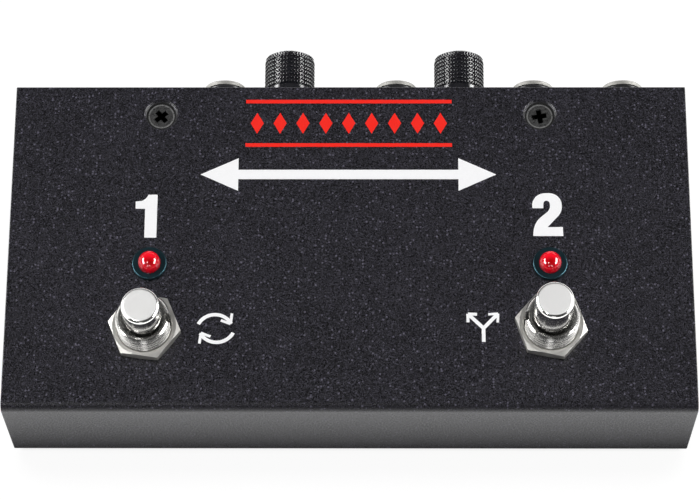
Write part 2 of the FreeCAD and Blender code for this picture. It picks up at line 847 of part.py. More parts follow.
def panel_washers(xs, radius, rim, thickness):
    """Flat washers on the outside of the rear panel."""
    end_y = box_depth + thickness
    return [
        spindle(radius + rim, x, box_depth, end_y).cut(spindle(radius + panel_fit, x, box_depth, end_y))
        for x in xs
    ]


def jack_washers():
    """Flat washers between the rear panel and the jack nuts."""
    return panel_washers(jack_xs, jack_nose_radius, jack_washer_rim, jack_washer_thickness)


def jack_nuts():
    """The hexagon nuts that hold the jack noses."""
    seat_y = box_depth + jack_washer_thickness
    return [
        hex_nut(
            jack_nose_radius, jack_nut_wall, jack_nut_thickness,
            (x, seat_y, axis_z), Y_AXIS, jack_nut_turn,
        )
        for x in jack_xs
    ]


def jack_contacts():
    """Two spring contacts in each jack, drawn pushed aside as a plug holds them."""
    blades = []
    for x in jack_xs:
        for side, behind in zip((-1, 1), contact_legs_behind):
            height = contact_height(side) + contact_thickness / 2
            drop_y = jack_back_y - behind
            tip_y = jack_deep_y + contact_reach
            path = [(0, drop_y, board_top), (0, drop_y, height), (0, tip_y, height)]
            across = X_AXIS * contact_width
            blade = folded_sheet(path, -X_AXIS, contact_thickness, contact_bend, across)
            blade.translate(X_AXIS * (x - contact_width / 2))
            pin = leg(x, drop_y + contact_thickness / 2, board_top + contact_foot)
            blades.append(blade.fuse(pin).removeSplitter())
    return blades


# Level controls


def pot_housing(x):
    """The control's housing on the board with its threaded bushing through the panel."""
    half = pot_width / 2
    reach = pot_bushing_end_y - panel_inner_y
    outline = [(0, 0)]
    outline += thread_profile(pot_bushing_radius, pot_thread_depth, pot_thread_pitch, 0, reach)
    outline.append((0, reach))
    bushing = turned(outline, (x, panel_inner_y, axis_z), Y_AXIS)
    block = box((x - half, pot_back_y, board_top), (x + half, panel_inner_y, board_top + pot_height))
    cavity_end_y = rotor_y + rotor_thickness + rotor_gap
    cavity = spindle(rotor_radius + rotor_gap, x, rotor_y - rotor_gap, cavity_end_y)
    bore = spindle(pot_bore_radius, x, rotor_y, pot_bushing_end_y)
    return block.fuse(bushing).cut(cavity.fuse(bore))


def pot_shaft(x):
    """The turning shaft with a flat for the knob and the rotor inside the housing."""
    shaft_end_y = knob_end_y - knob_end_wall - shaft_end_gap
    rotor = spindle(rotor_radius, x, rotor_y, rotor_y + rotor_thickness)
    shaft = spindle(pot_shaft_radius, x, rotor_y, shaft_end_y)
    flat_low = (x - pot_shaft_radius, knob_start_y, axis_z - 2 * pot_shaft_radius)
    flat = box(flat_low, (x + pot_shaft_radius, shaft_end_y, axis_z - pot_shaft_radius / 2))
    return rotor.fuse(shaft).cut(flat).removeSplitter()


def knob_blank(length, grip_start):
    """The knob's turned outline, with its collar, groove and chamfered end."""
    groove_radius = knob_radius - knob_groove_depth
    outline = [(0, 0), (knob_radius - knob_collar_edge, 0), (knob_radius, knob_collar_edge)]
    outline += [(knob_radius, knob_collar), (groove_radius, knob_collar), (groove_radius, grip_start)]
    outline += [(knob_radius, grip_start), (knob_radius, length - knob_end_lip)]
    outline += [(knob_radius - knob_end_lip, length), (0, length)]
    return turned(outline, (0, 0, 0), Y_AXIS)


def knob(x):
    """A fluted knob on its shaft, with a pointer notch and a hole for its set screw."""
    length = knob_reach - knob_start
    grip_start = knob_collar + knob_groove
    corners = []
    for step in range(2 * knob_flutes):
        angle = math.pi * (step + 0.5) / knob_flutes
        radius = knob_radius - (knob_flute_depth if step % 2 else 0)
        corners.append(Vector(math.cos(angle), 0, math.sin(angle)) * radius)
    fluted = Part.Face(Part.makePolygon(corners + [corners[0]])).extrude(Y_AXIS * (length - grip_start))
    fluted.translate(Y_AXIS * grip_start)
    plain = box((-knob_radius, 0, -knob_radius), (knob_radius, grip_start, knob_radius))
    shape = knob_blank(length, grip_start).common(plain.fuse(fluted))
    shape.translate(Vector(x, knob_start_y, axis_z))
    screw_y = knob_start_y + set_screw_from_start
    below = axis_z - 2 * knob_radius
    above = axis_z + 2 * knob_radius
    bore_end_y = knob_end_y - knob_end_wall
    notch_low = (x - pointer_width / 2, knob_end_y - pointer_depth, axis_z + pointer_start)
    shape = shape.cut(spindle(pot_shaft_radius + thread_fit, x, knob_start_y, bore_end_y))
    shape = shape.cut(pillar(set_screw_radius + thread_fit, x, screw_y, below, axis_z))
    shape = shape.cut(box(notch_low, (x + pointer_width / 2, knob_end_y, above)))
    return shape.removeSplitter()


def set_screw(x):
    """The socket screw in the knob's side, pressed on the flat of the shaft."""
    y = knob_start_y + set_screw_from_start
    low = axis_z - knob_radius + set_screw_sink
    screw = pillar(set_screw_radius, x, y, low, axis_z - pot_shaft_radius / 2 - thread_fit)
    half = set_screw_socket / 2
    socket = box((x - half, y - half, low), (x + half, y + half, low + set_screw_socket_depth))
    return screw.cut(socket)


def pot_washers():
    """Flat washers under the control nuts."""
    return panel_washers(control_xs, pot_bushing_radius, pot_washer_rim, pot_washer_thickness)


def pot_nuts():
    """The hexagon nuts behind the knobs."""
    seat_y = box_depth + pot_washer_thickness
    return [
        hex_nut(
            pot_bushing_radius, pot_nut_wall, pot_nut_thickness,
            (x, seat_y, axis_z), Y_AXIS, pot_nut_turn,
        )
        for x in control_xs
    ]


def pot_legs():
    """Three legs under each control."""
    y = pot_back_y + pot_depth / 2
    return [leg(x + place * pot_leg_spacing, y, board_top) for x in control_xs for place in (-1, 0, 1)]


# Power inlet


def inlet_body():
    """The power socket's body, with its round nose in the rear panel."""
    half = inlet_width / 2
    nose_end_y = box_depth + inlet_stand_out
    bore_start_y = nose_end_y - inlet_bore_depth
    high = (inlet_x + half, panel_inner_y, board_top + inlet_height)
    block = box((inlet_x - half, inlet_back_y, board_top), high)
    block = block.fuse(spindle(inlet_nose_radius, inlet_x, panel_inner_y, nose_end_y))
    block = block.cut(spindle(inlet_bore_radius, inlet_x, bore_start_y, nose_end_y))
    return block.cut(spindle(inlet_pin_radius + thread_fit, inlet_x, inlet_back_y, bore_start_y))


def inlet_pin():
    """The centre pin, running through the body and down to the board."""
    tail_y = inlet_back_y - inlet_tail
    length = box_depth + inlet_stand_out - inlet_pin_inset - tail_y
    outline = [(0, 0), (inlet_pin_radius, 0), (inlet_pin_radius, length - inlet_pin_edge)]
    outline += [(inlet_pin_radius - inlet_pin_edge, length), (0, length)]
    pin = turned(outline, (inlet_x, tail_y, axis_z), Y_AXIS)
    return pin.fuse(leg(inlet_x, tail_y + inlet_tail / 2, axis_z, inlet_leg_radius)).removeSplitter()


# Circuit board and what stands on it


def moulded_block(x, y, length, width, low, height):
    """A block centred on a place, with its upper edges rounded."""
    block = box((x - length / 2, y - width / 2, low), (x + length / 2, y + width / 2, low + height))
    return block.makeFillet(moulded_edge, edges_at(block, low + height))


def relays():
    """The relays that route the signal, between the footswitches and the jacks."""
    return [
        moulded_block(x, relay_y, relay_length, relay_width, board_top, relay_height)
        for x in relay_xs
    ]


def relay_legs():
    """Two rows of legs under each relay."""
    row = relay_width / 2 - relay_leg_inset
    end = relay_length / 2 - relay_leg_inset
    pitch = 2 * end / (relay_legs_per_row - 1)
    return [
        leg(x - end + pitch * place, relay_y + side * row, board_top)
        for x in relay_xs for side in (-1, 1) for place in range(relay_legs_per_row)
    ]


def transformer_core():
    """The iron core of the isolation transformer, with a window each side of its middle leg."""
    x, y = transformer_x, transformer_y
    half_length = transformer_length / 2
    half_depth = transformer_depth / 2
    high = transformer_low + transformer_height
    yoke = transformer_iron / 2
    low_corner = (x - half_length, y - half_depth, transformer_low)
    core = box(low_corner, (x + half_length, y + half_depth, high))
    windows = []
    for low_x, high_x in ((yoke - half_length, -yoke), (yoke, half_length - yoke)):
        window_low = (x + low_x, y - half_depth, transformer_low + yoke)
        windows.append(box(window_low, (x + high_x, y + half_depth, high - yoke)))
    return drilled(core, windows)


def transformer_coil():
    """The winding round the core's middle leg, bulging out at the front and rear."""
    x, y = transformer_x, transformer_y
    yoke = transformer_iron / 2
    low = transformer_low + yoke + winding_gap
    high = transformer_low + transformer_height - yoke - winding_gap
    outer_x = transformer_length / 2 - yoke - winding_gap
    inner_x = yoke + winding_gap
    outer_y = transformer_depth / 2 + winding_bulge
    inner_y = transformer_depth / 2 + winding_gap
    coil = box((x - outer_x, y - outer_y, low), (x + outer_x, y + outer_y, high))
    uprights = [edge for edge in coil.Edges if edge.BoundBox.ZLength > winding_round]
    coil = coil.makeFillet(winding_round, uprights)
    return coil.cut(box((x - inner_x, y - inner_y, low), (x + inner_x, y + inner_y, high)))


def transformer_base():
    """The moulded plate that carries the transformer on the board."""
    across = transformer_length / 2
    along = transformer_depth / 2 + winding_bulge
    low = (transformer_x - across, transformer_y - along, board_top)
    return box(low, (transformer_x + across, transformer_y + along, transformer_low))


def transformer_legs():
    """Four legs under the transformer's plate."""
    across = transformer_length / 2 - transformer_leg_inset
    along = transformer_depth / 2
    return [
        leg(transformer_x + side * across, transformer_y + end * along, board_top)
        for side in (-1, 1) for end in (-1, 1)
    ]


def chips():
    """Small moulded chips lying on the board."""
    return [
        moulded_block(x, chip_y, chip_length, chip_width, board_top, chip_height)
        for x in chip_xs
    ]


def capacitors():
    """Round capacitors standing on the board."""
    sizes = [(place, small_can_radius, small_can_height) for place in small_can_places]
    sizes += [(place, large_can_radius, large_can_height) for place in large_can_places]
    cans = []
    for (x, y), radius, height in sizes:
        can = pillar(radius, x, y, board_top, board_top + height)
        cans.append(can.makeFillet(moulded_edge, edges_at(can, board_top + height)))
    return cans


def capacitor_legs():
    """Two legs under each capacitor."""
    half = can_leg_spacing / 2
    places = small_can_places + large_can_places
    return [leg(x + side * half, y, board_top) for x, y in places for side in (-1, 1)]


def resistors():
    """A row of small resistors lying on the board."""
    z = board_top + resistor_radius
    first_x = -(resistor_pitch * (resistor_count - 1) + resistor_length) / 2
    row = []
    for place in range(resistor_count):
        x = first_x + resistor_pitch * place
        row.append(rod(resistor_radius, (x, resistor_y, z), (x + resistor_length, resistor_y, z)))
    return row


def main_board():
    """The circuit board, drilled for every leg that was set and for its own screws."""
    half = wall_inner_x - board_side_gap
    board = box((-half, board_front, board_low), (half, panel_inner_y - board_rear_gap, board_top))
    holes = [pillar(radius, x, y, board_low, board_top) for x, y, radius in board_holes]
    for x in (-standoff_x, standoff_x):
        holes += [pillar(screw_hole_radius, x, y, board_low, board_top) for y in standoff_ys]
    return drilled(board, holes)


def board_standoffs():
    """Tapped pillars on the bottom."""
    pillars = []
    for x in (-standoff_x, standoff_x):
        for y in standoff_ys:
            bore = pillar(screw_bore_radius, x, y, floor_z, board_low)
            pillars.append(pillar(standoff_radius, x, y, floor_z, board_low).cut(bore))
    return pillars


def board_screws():
    """Domed screws that hold the board on its pillars."""
    length = board_thickness + board_screw_grip
    return [
        pan_screw(x, y, board_top, length, board_screw_turn)
        for x in (-standoff_x, standoff_x) for y in standoff_ys
    ]


def build():
    """Makes every node. The board comes last, because each leg notes its hole."""
    os.makedirs("parts", exist_ok=True)
    save("top_cover", top_cover())
    save("base_tray", base_tray())
    save("rear_panel", rear_panel())
    save("rubber_feet", *rubber_feet())
    save("weld_nuts", *weld_nuts())
    save("cover_screws", *cover_screws())
    save("bottom_screws", *bottom_screws())
    for switch in switches:
        name = switch["name"]
        save("switch_frame_" + name, switch_frame(switch))
        save("switch_housing_" + name, switch_housing(switch))
        save("switch_plunger_" + name, switch_plunger(switch))
        save("contact_bridge_" + name, contact_bridge(switch))
        save("return_spring_" + name, return_spring(switch))
    for number, x in enumerate(lamp_xs, 1):
        save("lamp_bezel_" + str(number), lamp_bezel(x))
        save("lamp_" + str(number), lamp(x))
    save("contact_posts", *contact_posts())
    save("switch_nuts", *switch_nuts())
    save("switch_inner_nuts", *switch_inner_nuts())
    save("switch_lock_washers", *switch_lock_washers())
    save("lamp_clip_rings", *lamp_clip_rings())
    for number, x in enumerate(jack_xs, 1):
        save("jack_body_" + str(number), jack_body(x))
        save("jack_sleeve_" + str(number), jack_sleeve(x))
    save("jack_washers", *jack_washers())
    save("jack_nuts", *jack_nuts())
    save("jack_contacts", *jack_contacts())
    for number, x in enumerate(control_xs, 1):
        save("pot_housing_" + str(number), pot_housing(x))
        save("pot_shaft_" + str(number), pot_shaft(x))
        save("knob_" + str(number), knob(x))
        save("set_screw_" + str(number), set_screw(x))
    save("pot_washers", *pot_washers())
    save("pot_nuts", *pot_nuts())
    save("inlet_body", inlet_body())
    save("inlet_pin", inlet_pin())
    save("relays", *relays())
    save("transformer_core", transformer_core())
    save("transformer_coil", transformer_coil())
    save("transformer_base", transformer_base())
    save("chips", *chips())
    save("capacitors", *capacitors())
    save("resistors", *resistors())
    legs = lamp_legs() + pot_legs() + relay_legs() + transformer_legs() + capacitor_legs()
    save("component_legs", *legs)
    save("board_standoffs", *board_standoffs())
    save("board_screws", *board_screws())
    save("main_board", main_board())


build()
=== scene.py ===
import math

import bmesh
import bpy
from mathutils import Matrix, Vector


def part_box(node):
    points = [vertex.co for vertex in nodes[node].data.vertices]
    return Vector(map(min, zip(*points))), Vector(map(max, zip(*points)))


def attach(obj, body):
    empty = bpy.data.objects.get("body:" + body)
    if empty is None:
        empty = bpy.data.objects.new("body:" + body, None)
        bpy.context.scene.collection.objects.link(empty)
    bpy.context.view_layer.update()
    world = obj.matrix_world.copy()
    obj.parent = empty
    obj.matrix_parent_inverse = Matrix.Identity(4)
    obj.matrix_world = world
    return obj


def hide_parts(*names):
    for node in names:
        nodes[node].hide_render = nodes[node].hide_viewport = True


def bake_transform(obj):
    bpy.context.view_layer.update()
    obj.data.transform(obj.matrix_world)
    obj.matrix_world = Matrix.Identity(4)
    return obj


# The looks of an A/B/Y foot switch box: a black powder-coated case with two footswitches,
# two red lamps, two knurled level knobs and four jacks. Metres, +Z up, +Y to the rear.

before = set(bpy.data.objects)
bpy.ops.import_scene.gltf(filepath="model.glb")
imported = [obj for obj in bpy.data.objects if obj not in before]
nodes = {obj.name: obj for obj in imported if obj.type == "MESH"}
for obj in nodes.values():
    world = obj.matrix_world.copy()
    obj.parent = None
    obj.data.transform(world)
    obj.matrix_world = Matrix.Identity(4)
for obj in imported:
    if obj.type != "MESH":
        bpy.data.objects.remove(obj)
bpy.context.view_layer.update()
mm = 0.001

# Places along Y are measured from the front edge of the case
case_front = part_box("top_cover")[0].y

# Camera, found from the corners of the case and the centres of its round pieces
camera_place = Vector((6.326, -205.289, 626.804)) * mm
camera_tilt = 22.2
camera_roll = 0.57
camera_turn = 0.016
camera_lens = 148.95
camera_sensor = 36.0
camera_clip = 10 * mm

# Floor. Under the case its own white fades out, as a painted shadow, at these distances from the case's
# edge
floor_size = 8.0
floor_reflectance = 0.88
floor_white = 0.94
floor_shade = 0.13
floor_painted_shadow = (-7.0 * mm, -1.0 * mm)

# The floor in reflections: a painted shadow, dark at the case, and brighter than white farther out
floor_mirrored_painted_shadow = (0.8 * mm, 14.5 * mm)
floor_mirrored_far = 1.95

# Lamps of the studio
lamp_distance = 0.9
side_lamp_rise = 0.5
side_lamp_width = 0.9
side_lamp_height = 0.28
side_lamp_radiance = 22.0
ceiling_toward = (0.0, 0.375, 0.927)
ceiling_width = 0.6
ceiling_depth = 0.5
ceiling_radiance = 0.08
overhead_toward = (0.0, 0.208, 0.978)
overhead_width = 0.8
overhead_depth = 0.26
overhead_radiance = 9.6
front_toward = (-0.03, -0.93, 0.3)
front_width = 0.22
front_height = 0.3
front_radiance = 1.4
accent_toward = (-0.3, -0.39, 0.87)
accent_size = 0.06
accent_radiance = 90.0

# Sky: a room seen in reflections, and a soft light that is stronger from the rear
room_zenith = 0.06
room_horizon = 0.28
room_front_share = 0.5
room_front_span = (-0.9, 0.2)
sky_front = 0.2
sky_rear = 0.5
sky_span = (-0.2, 0.4)

# Most values of a noise lie in this span
noise_span = (0.3, 0.7)

# Powder coat
powder_index = 1.37
powder_grain = 0.22 * mm
powder_grain_detail = 1.5
powder_grain_span = (0.34, 0.7)
powder_grain_power = 2.2
powder_grain_share = 0.6
powder_depth = 0.07 * mm
powder_patch = 14 * mm
powder_patch_share = (0.02, 0.05)
# Bright dots of painted glint in the coat's colour
powder_glint_spacing = 0.75 * mm
powder_glint_size = 0.36
powder_glint_core = 0.18
powder_glint_chance = 0.2
powder_glint_share = 1.2
powder_dark = (0.001, 0.001, 0.001)
powder_light = (0.094, 0.089, 0.12)
powder_roughness = (0.24, 0.34)
# A ring of painted shadow round the cover screws' heads, as radii from their axes
powder_painted_shadow_ring = (3.3 * mm, 3.5 * mm)

# Screw heads: a painted highlight on the rim, painted shade in the recess
screw_brush = 0.3 * mm
screw_brush_detail = 3.0
screw_brush_stretch = (1, 3, 1)
screw_brush_share = (0.05, 0.4)
screw_brush_depth = 0.01 * mm
screw_painted_highlight_rim = (2.55 * mm, 2.75 * mm)
screw_painted_highlight_share = 0.6
screw_painted_shade_depth = 0.3 * mm
screw_lit_depth = 0.1 * mm
screw_dark = (0.002, 0.002, 0.002)
screw_light = (0.8, 0.8, 0.8)
screw_roughness = (0.24, 0.4)

# Ink
ink_index = 1.3
ink_patch = 2 * mm
ink_roughness = (0.5, 0.65)
ink_relief_share = 0.3

# Metals
metal_mark_detail = 4.0
metal_patch = 3 * mm
metal_patch_detail = 3.0

# Turned nickel
turned_ring = 0.5 * mm
turned_ring_detail = 1.0
turned_ring_span = (0.4, 0.6)
turned_depth = 0.02 * mm
turned_dark = (0.42, 0.415, 0.4)
turned_light = (0.9, 0.89, 0.87)
turned_grain = 0.4 * mm
turned_roughness = (0.14, 0.28)

# Plungers: bright sides and a blasted top, told apart by how far up a place faces
plunger_top_facing = (0.9, 0.99)
plunger_mark = 0.3 * mm
plunger_mark_detail = 3.0
plunger_mark_stretch = (2, 1, 2)
plunger_mark_depth = 0.001 * mm
plunger_blast = 0.35 * mm
plunger_blast_depth = 0.006 * mm
plunger_blast_roughness = 0.08
plunger_patch = 2 * mm
plunger_patch_share = 0.3
plunger_dark = (0.68, 0.675, 0.66)
plunger_light = (0.93, 0.925, 0.915)
plunger_roughness = (0.1, 0.47)

# Plastics
moulded_flow = 4 * mm
moulded_flow_detail = 3.0
moulded_patch_grains = 4
banded_patch = 0.8 * mm
banded_roughness = (0.28, 0.42)
banded_grain = 0.5 * mm
banded_depth = 0.005 * mm

# Lens resin
lens_index = 1.1
lens_coat_index = 1.6
lens_coat_roughness = 0.01
lens_cloud = 0.8 * mm
lens_cloud_share = 0.3
# Painted light: the lens brightens toward its rim, by how its surface faces the view
lens_painted_light_facing = (0.0, 0.2)
lens_painted_light_share = 0.9
lens_dark = (0.36, 0.0, 0.0)
lens_light = (1.0, 0.0, 0.016)
lens_patch = 0.6 * mm
lens_roughness = (0.03, 0.09)
lens_wave = 1.5 * mm
lens_wave_depth = 0.002 * mm

# Circuit board
board_coat = 0.6
board_coat_roughness = 0.15
board_lines_per_metre = 260.0
board_line_width = 0.08
board_line_depth = 0.03 * mm
board_line_patch = 8 * mm
board_dark = (0.006, 0.07, 0.022)
board_light = (0.03, 0.17, 0.05)
board_patch = 1 * mm
board_roughness = (0.3, 0.45)

# Edges sharper than this many degrees stay crisp
crisp_angle = 35

# Printed figures and signs
white_ink_dark = (0.9, 0.9, 0.91)
white_ink_light = (0.97, 0.97, 0.98)
red_ink_dark = (0.84, 0.006, 0.0)
red_ink_light = (0.98, 0.014, 0.002)
ink_height = 0.045 * mm
ink_sunk = 0.02 * mm
ink_step = 0.002 * mm
figure_1_x = -47.95 * mm
figure_2_x = 40.7 * mm
figure_1_y = 40.4 * mm
figure_2_y = 40.8 * mm
curve_steps = 12
swap_centre_x = -29.4 * mm
swap_y = 18.8 * mm
swap_radius = 4.1 * mm
swap_arc_centre = Vector((-0.2 * mm, -0.85 * mm))
swap_arc_from = 152.8
swap_arc_to = 29.3
swap_stroke = 0.8 * mm
swap_tip = Vector((3.24, 1.08)) * mm
swap_barbs = (Vector((3.51, 3.53)) * mm, Vector((1.11, 1.9)) * mm)
swap_barb_stroke = 0.6 * mm
fork_x = 29.45 * mm
fork_y = 15.7 * mm
fork_stroke = 0.81 * mm
fork_junction = Vector((0, 3.2)) * mm
fork_overlap = Vector((0, 0.2)) * mm
fork_left_tip = Vector((-3.41, 6.55)) * mm
fork_left_barbs = (Vector((-1.39, 6.45)) * mm, Vector((-3.39, 4.57)) * mm)
fork_left_barb_stroke = 0.68 * mm
fork_right_tip = Vector((3.22, 6.6)) * mm
fork_right_barbs = (Vector((1.07, 6.45)) * mm, Vector((3.13, 4.54)) * mm)
fork_right_barb_stroke = 0.57 * mm
title_half_length = 33.2 * mm
title_centre_x = -0.4 * mm
title_y = 55.75 * mm
title_bar = 2.3 * mm
title_head = 8.0 * mm
title_head_length = 8.5 * mm
emblem_half_width = 23.3 * mm
emblem_centre_x = -0.35 * mm
emblem_y = 68.4 * mm
emblem_half_height = 5.4 * mm
emblem_rule = 0.9 * mm
emblem_marks = 9
emblem_mark_width = 3.0 * mm
emblem_mark_height = 5.2 * mm

# Knobs
knob_flutes = 48
knob_row = 0.95 * mm
knob_groove_share = 0.14
knob_flank_share = 0.17
knob_row_groove_share = 0.26
knob_row_flank_share = 0.18
knob_relief = 0.4 * mm
knob_crown = 0.05 * mm
knob_crown_share = 0.1
knob_collar = 2.1 * mm
knob_collar_edge = 0.2 * mm
knob_gap = 0.3 * mm
knob_gap_depth = 0.5 * mm
knob_lip = 1.1 * mm
knob_lip_steps = 4
knob_bore_radius = 3.02 * mm
knob_end_wall = 2.0 * mm
pointer_width = 0.8 * mm
pointer_depth = 0.4 * mm
pointer_start = 1.0 * mm
pointer_fill = 0.3 * mm
pointer_dark = (0.8, 0.8, 0.79)
pointer_light = (0.9, 0.9, 0.89)
set_screw_radius = 1.27 * mm
set_screw_sides = 32
set_screw_from_start = 5.2 * mm

# Lamps
lamp_radius = 2.5 * mm
lamp_rim_height = 1.0 * mm
lamp_rim_edge = 0.15 * mm
lamp_sides = 72
dome_steps = 16
cup_radius = 1.0 * mm
cup_stem_radius = 0.5 * mm
cup_mouth_radius = 0.8 * mm
cup_well_radius = 0.35 * mm
cup_well_depth = 0.96 * mm
cup_height = 1.6 * mm
cup_drop = 2.2 * mm
cup_dark = (0.3, 0.3, 0.3)
cup_light = (0.5, 0.5, 0.5)
cup_roughness = (0.3, 0.5)

# Springs: points nearer than this are one point
spring_weld = 0.0005 * mm


def centre_of(node):
    """The middle of a node's box."""
    low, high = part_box(node)
    return (low + high) / 2


# Camera and studio


def make_camera():
    """The camera at the photograph's place, with its lens and no shift."""
    data = bpy.data.cameras.new("camera")
    data.lens = camera_lens
    data.sensor_width = camera_sensor
    data.clip_start = camera_clip
    camera = bpy.data.objects.new("camera", data)
    camera.location = camera_place + Vector((0, case_front, 0))
    camera.rotation_mode = "ZYX"
    camera.rotation_euler = [math.radians(a) for a in (camera_tilt, camera_roll, camera_turn)]
    bpy.context.scene.collection.objects.link(camera)
    bpy.context.scene.camera = camera


def area_lamp(name, toward, width, height, radiance, lights):
    """A flat rectangular lamp that faces the object and lights either its gloss or its colour."""
    data = bpy.data.lights.new(name, "AREA")
    data.shape = "RECTANGLE"
    data.size = width
    data.size_y = height
    data.energy = radiance * math.pi * width * height
    lamp = bpy.data.objects.new(name, data)
    direction = Vector(toward).normalized()
    lamp.location = direction * lamp_distance
    lamp.rotation_mode = "QUATERNION"
    lamp.rotation_quaternion = direction.to_track_quat("Z", "Y")
    lamp.visible_camera = False
    lamp.visible_diffuse = lights == "colour"
    lamp.visible_glossy = lights == "gloss"
    bpy.context.scene.collection.objects.link(lamp)


class Tree:
    """A node tree, grown one node at a time. A socket takes a value or another socket."""

    def __init__(self, tree):
        self.tree = tree

    def plug(self, socket, value):
        if isinstance(value, bpy.types.NodeSocket):
            self.tree.links.new(value, socket)
        else:
            socket.default_value = value

    def node(self, kind, sockets, **settings):
        made = self.tree.nodes.new("ShaderNode" + kind)
        for name, value in settings.items():
            setattr(made, name, value)
        for name, value in sockets.items():
            self.plug(made.inputs[name], value)
        return made

    def math(self, operation, first, second=0.0, third=0.0):
        made = self.node("Math", {0: first, 1: second, 2: third}, operation=operation)
        return made.outputs[0]

    def remap(self, value, low, high, new_low=0.0, new_high=1.0):
        """A value moved from one span to another, and held between its ends."""
        sockets = {"Value": value, "From Min": low, "From Max": high}
        sockets.update({"To Min": new_low, "To Max": new_high})
        return self.node("MapRange", sockets).outputs["Result"]

    def mix(self, share, low, high):
        """A colour between two, by a share from 0 to 1."""
        made = self.node("Mix", {0: share, 6: low, 7: high}, data_type="RGBA")
        return made.outputs[2]

    def shade(self, share, first, second):
        """One shader turning into another."""
        return self.node("MixShader", {0: share, 1: first, 2: second}).outputs[0]

    def parts(self, vector):
        return self.node("SeparateXYZ", {0: vector}).outputs


def from_case(tree):
    """How far a place on the floor lies outside the case."""
    low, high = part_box("top_cover")
    x, y, _ = tree.parts(tree.node("TexCoord", {}).outputs["Object"])
    beside = tree.math("SUBTRACT", tree.math("ABSOLUTE", x), high.x)
    from_middle = tree.math("ABSOLUTE", tree.math("SUBTRACT", y, (low.y + high.y) / 2))
    ahead = tree.math("SUBTRACT", from_middle, (high.y - low.y) / 2)
    return tree.math("MAXIMUM", beside, ahead)


def make_floor():
    """A plain floor. The camera sees it nearly white, with the object's shadow kept and a painted shadow
    under the case.

    In reflections it darkens toward the case, as a painted shadow.
    """
    mesh = bpy.data.meshes.new("floor")
    half = floor_size / 2
    corners = [(-half, -half, 0), (half, -half, 0), (half, half, 0), (-half, half, 0)]
    mesh.from_pydata(corners, [], [(0, 1, 2, 3)])
    floor = bpy.data.objects.new("floor", mesh)
    bpy.context.scene.collection.objects.link(floor)
    material = bpy.data.materials.new("floor")
    material.use_nodes = True
    material.cycles.emission_sampling = "NONE"
    material.node_tree.nodes.clear()
    tree = Tree(material.node_tree)
    lit = tree.node("BsdfDiffuse", {"Color": (floor_reflectance,) * 3 + (1,)}).outputs[0]
    shaded = tree.node("BsdfDiffuse", {"Color": (floor_shade,) * 3 + (1,)}).outputs[0]
    outside = from_case(tree)
    # The floor's glow fades out under the case: a painted shadow
    clear = tree.remap(outside, *floor_painted_shadow, 0.0, floor_white)
    glow = tree.node("Emission", {"Strength": clear}).outputs[0]
    seen = tree.node("AddShader", {0: shaded, 1: glow}).outputs[0]
    # In reflections the floor's glow carries a painted shadow, dark at the case
    fade = tree.remap(outside, *floor_mirrored_painted_shadow, 0.0, floor_mirrored_far)
    mirrored = tree.node("Emission", {"Strength": fade}).outputs[0]
    path = tree.node("LightPath", {}).outputs
    surface = tree.shade(path["Is Glossy Ray"], lit, mirrored)
    surface = tree.shade(path["Is Camera Ray"], surface, seen)
    tree.node("OutputMaterial", {"Surface": surface})
    mesh.materials.append(material)


def make_sky():
    """White behind the object, a dim room in reflections and a soft light, stronger from the rear."""
    world = bpy.data.worlds.new("studio")
    bpy.context.scene.world = world
    world.use_nodes = True
    world.node_tree.nodes.clear()
    tree = Tree(world.node_tree)
    toward = tree.parts(tree.node("TexCoord", {}).outputs["Generated"])
    rise = tree.remap(toward["Z"], 0.0, 1.0, room_horizon, room_zenith)
    front = tree.remap(toward["Y"], *room_front_span, room_front_share, 1.0)
    room = tree.math("MULTIPLY", rise, front)
    path = tree.node("LightPath", {}).outputs
    mirrored = tree.math("MAXIMUM", path["Is Glossy Ray"], path["Is Transmission Ray"])
    spread = tree.remap(toward["Y"], *sky_span, sky_front, sky_rear)
    even = tree.node("Background", {"Strength": spread}).outputs[0]
    reflected = tree.node("Background", {"Strength": room}).outputs[0]
    white = tree.node("Background", {"Color": (1, 1, 1, 1), "Strength": 1.0}).outputs[0]
    surface = tree.shade(mirrored, even, reflected)
    surface = tree.shade(path["Is Camera Ray"], surface, white)
    tree.node("OutputWorld", {"Surface": surface})


def make_studio():
    """A broad lamp overhead for the colours. All the other lamps show only in the gloss."""
    for name, side in (("left_softbox", -1), ("right_softbox", 1)):
        toward = (side * math.sqrt(1 - side_lamp_rise ** 2), 0, side_lamp_rise)
        area_lamp(name, toward, side_lamp_width, side_lamp_height, side_lamp_radiance, "gloss")
    area_lamp("ceiling", ceiling_toward, ceiling_width, ceiling_depth, ceiling_radiance, "gloss")
    area_lamp("overhead", overhead_toward, overhead_width, overhead_depth, overhead_radiance, "colour")
    area_lamp("front", front_toward, front_width, front_height, front_radiance, "gloss")
    area_lamp("accent", accent_toward, accent_size, accent_size, accent_radiance, "gloss")
    make_floor()
    make_sky()
    bpy.context.scene.view_settings.view_transform = "Standard"


# Materials


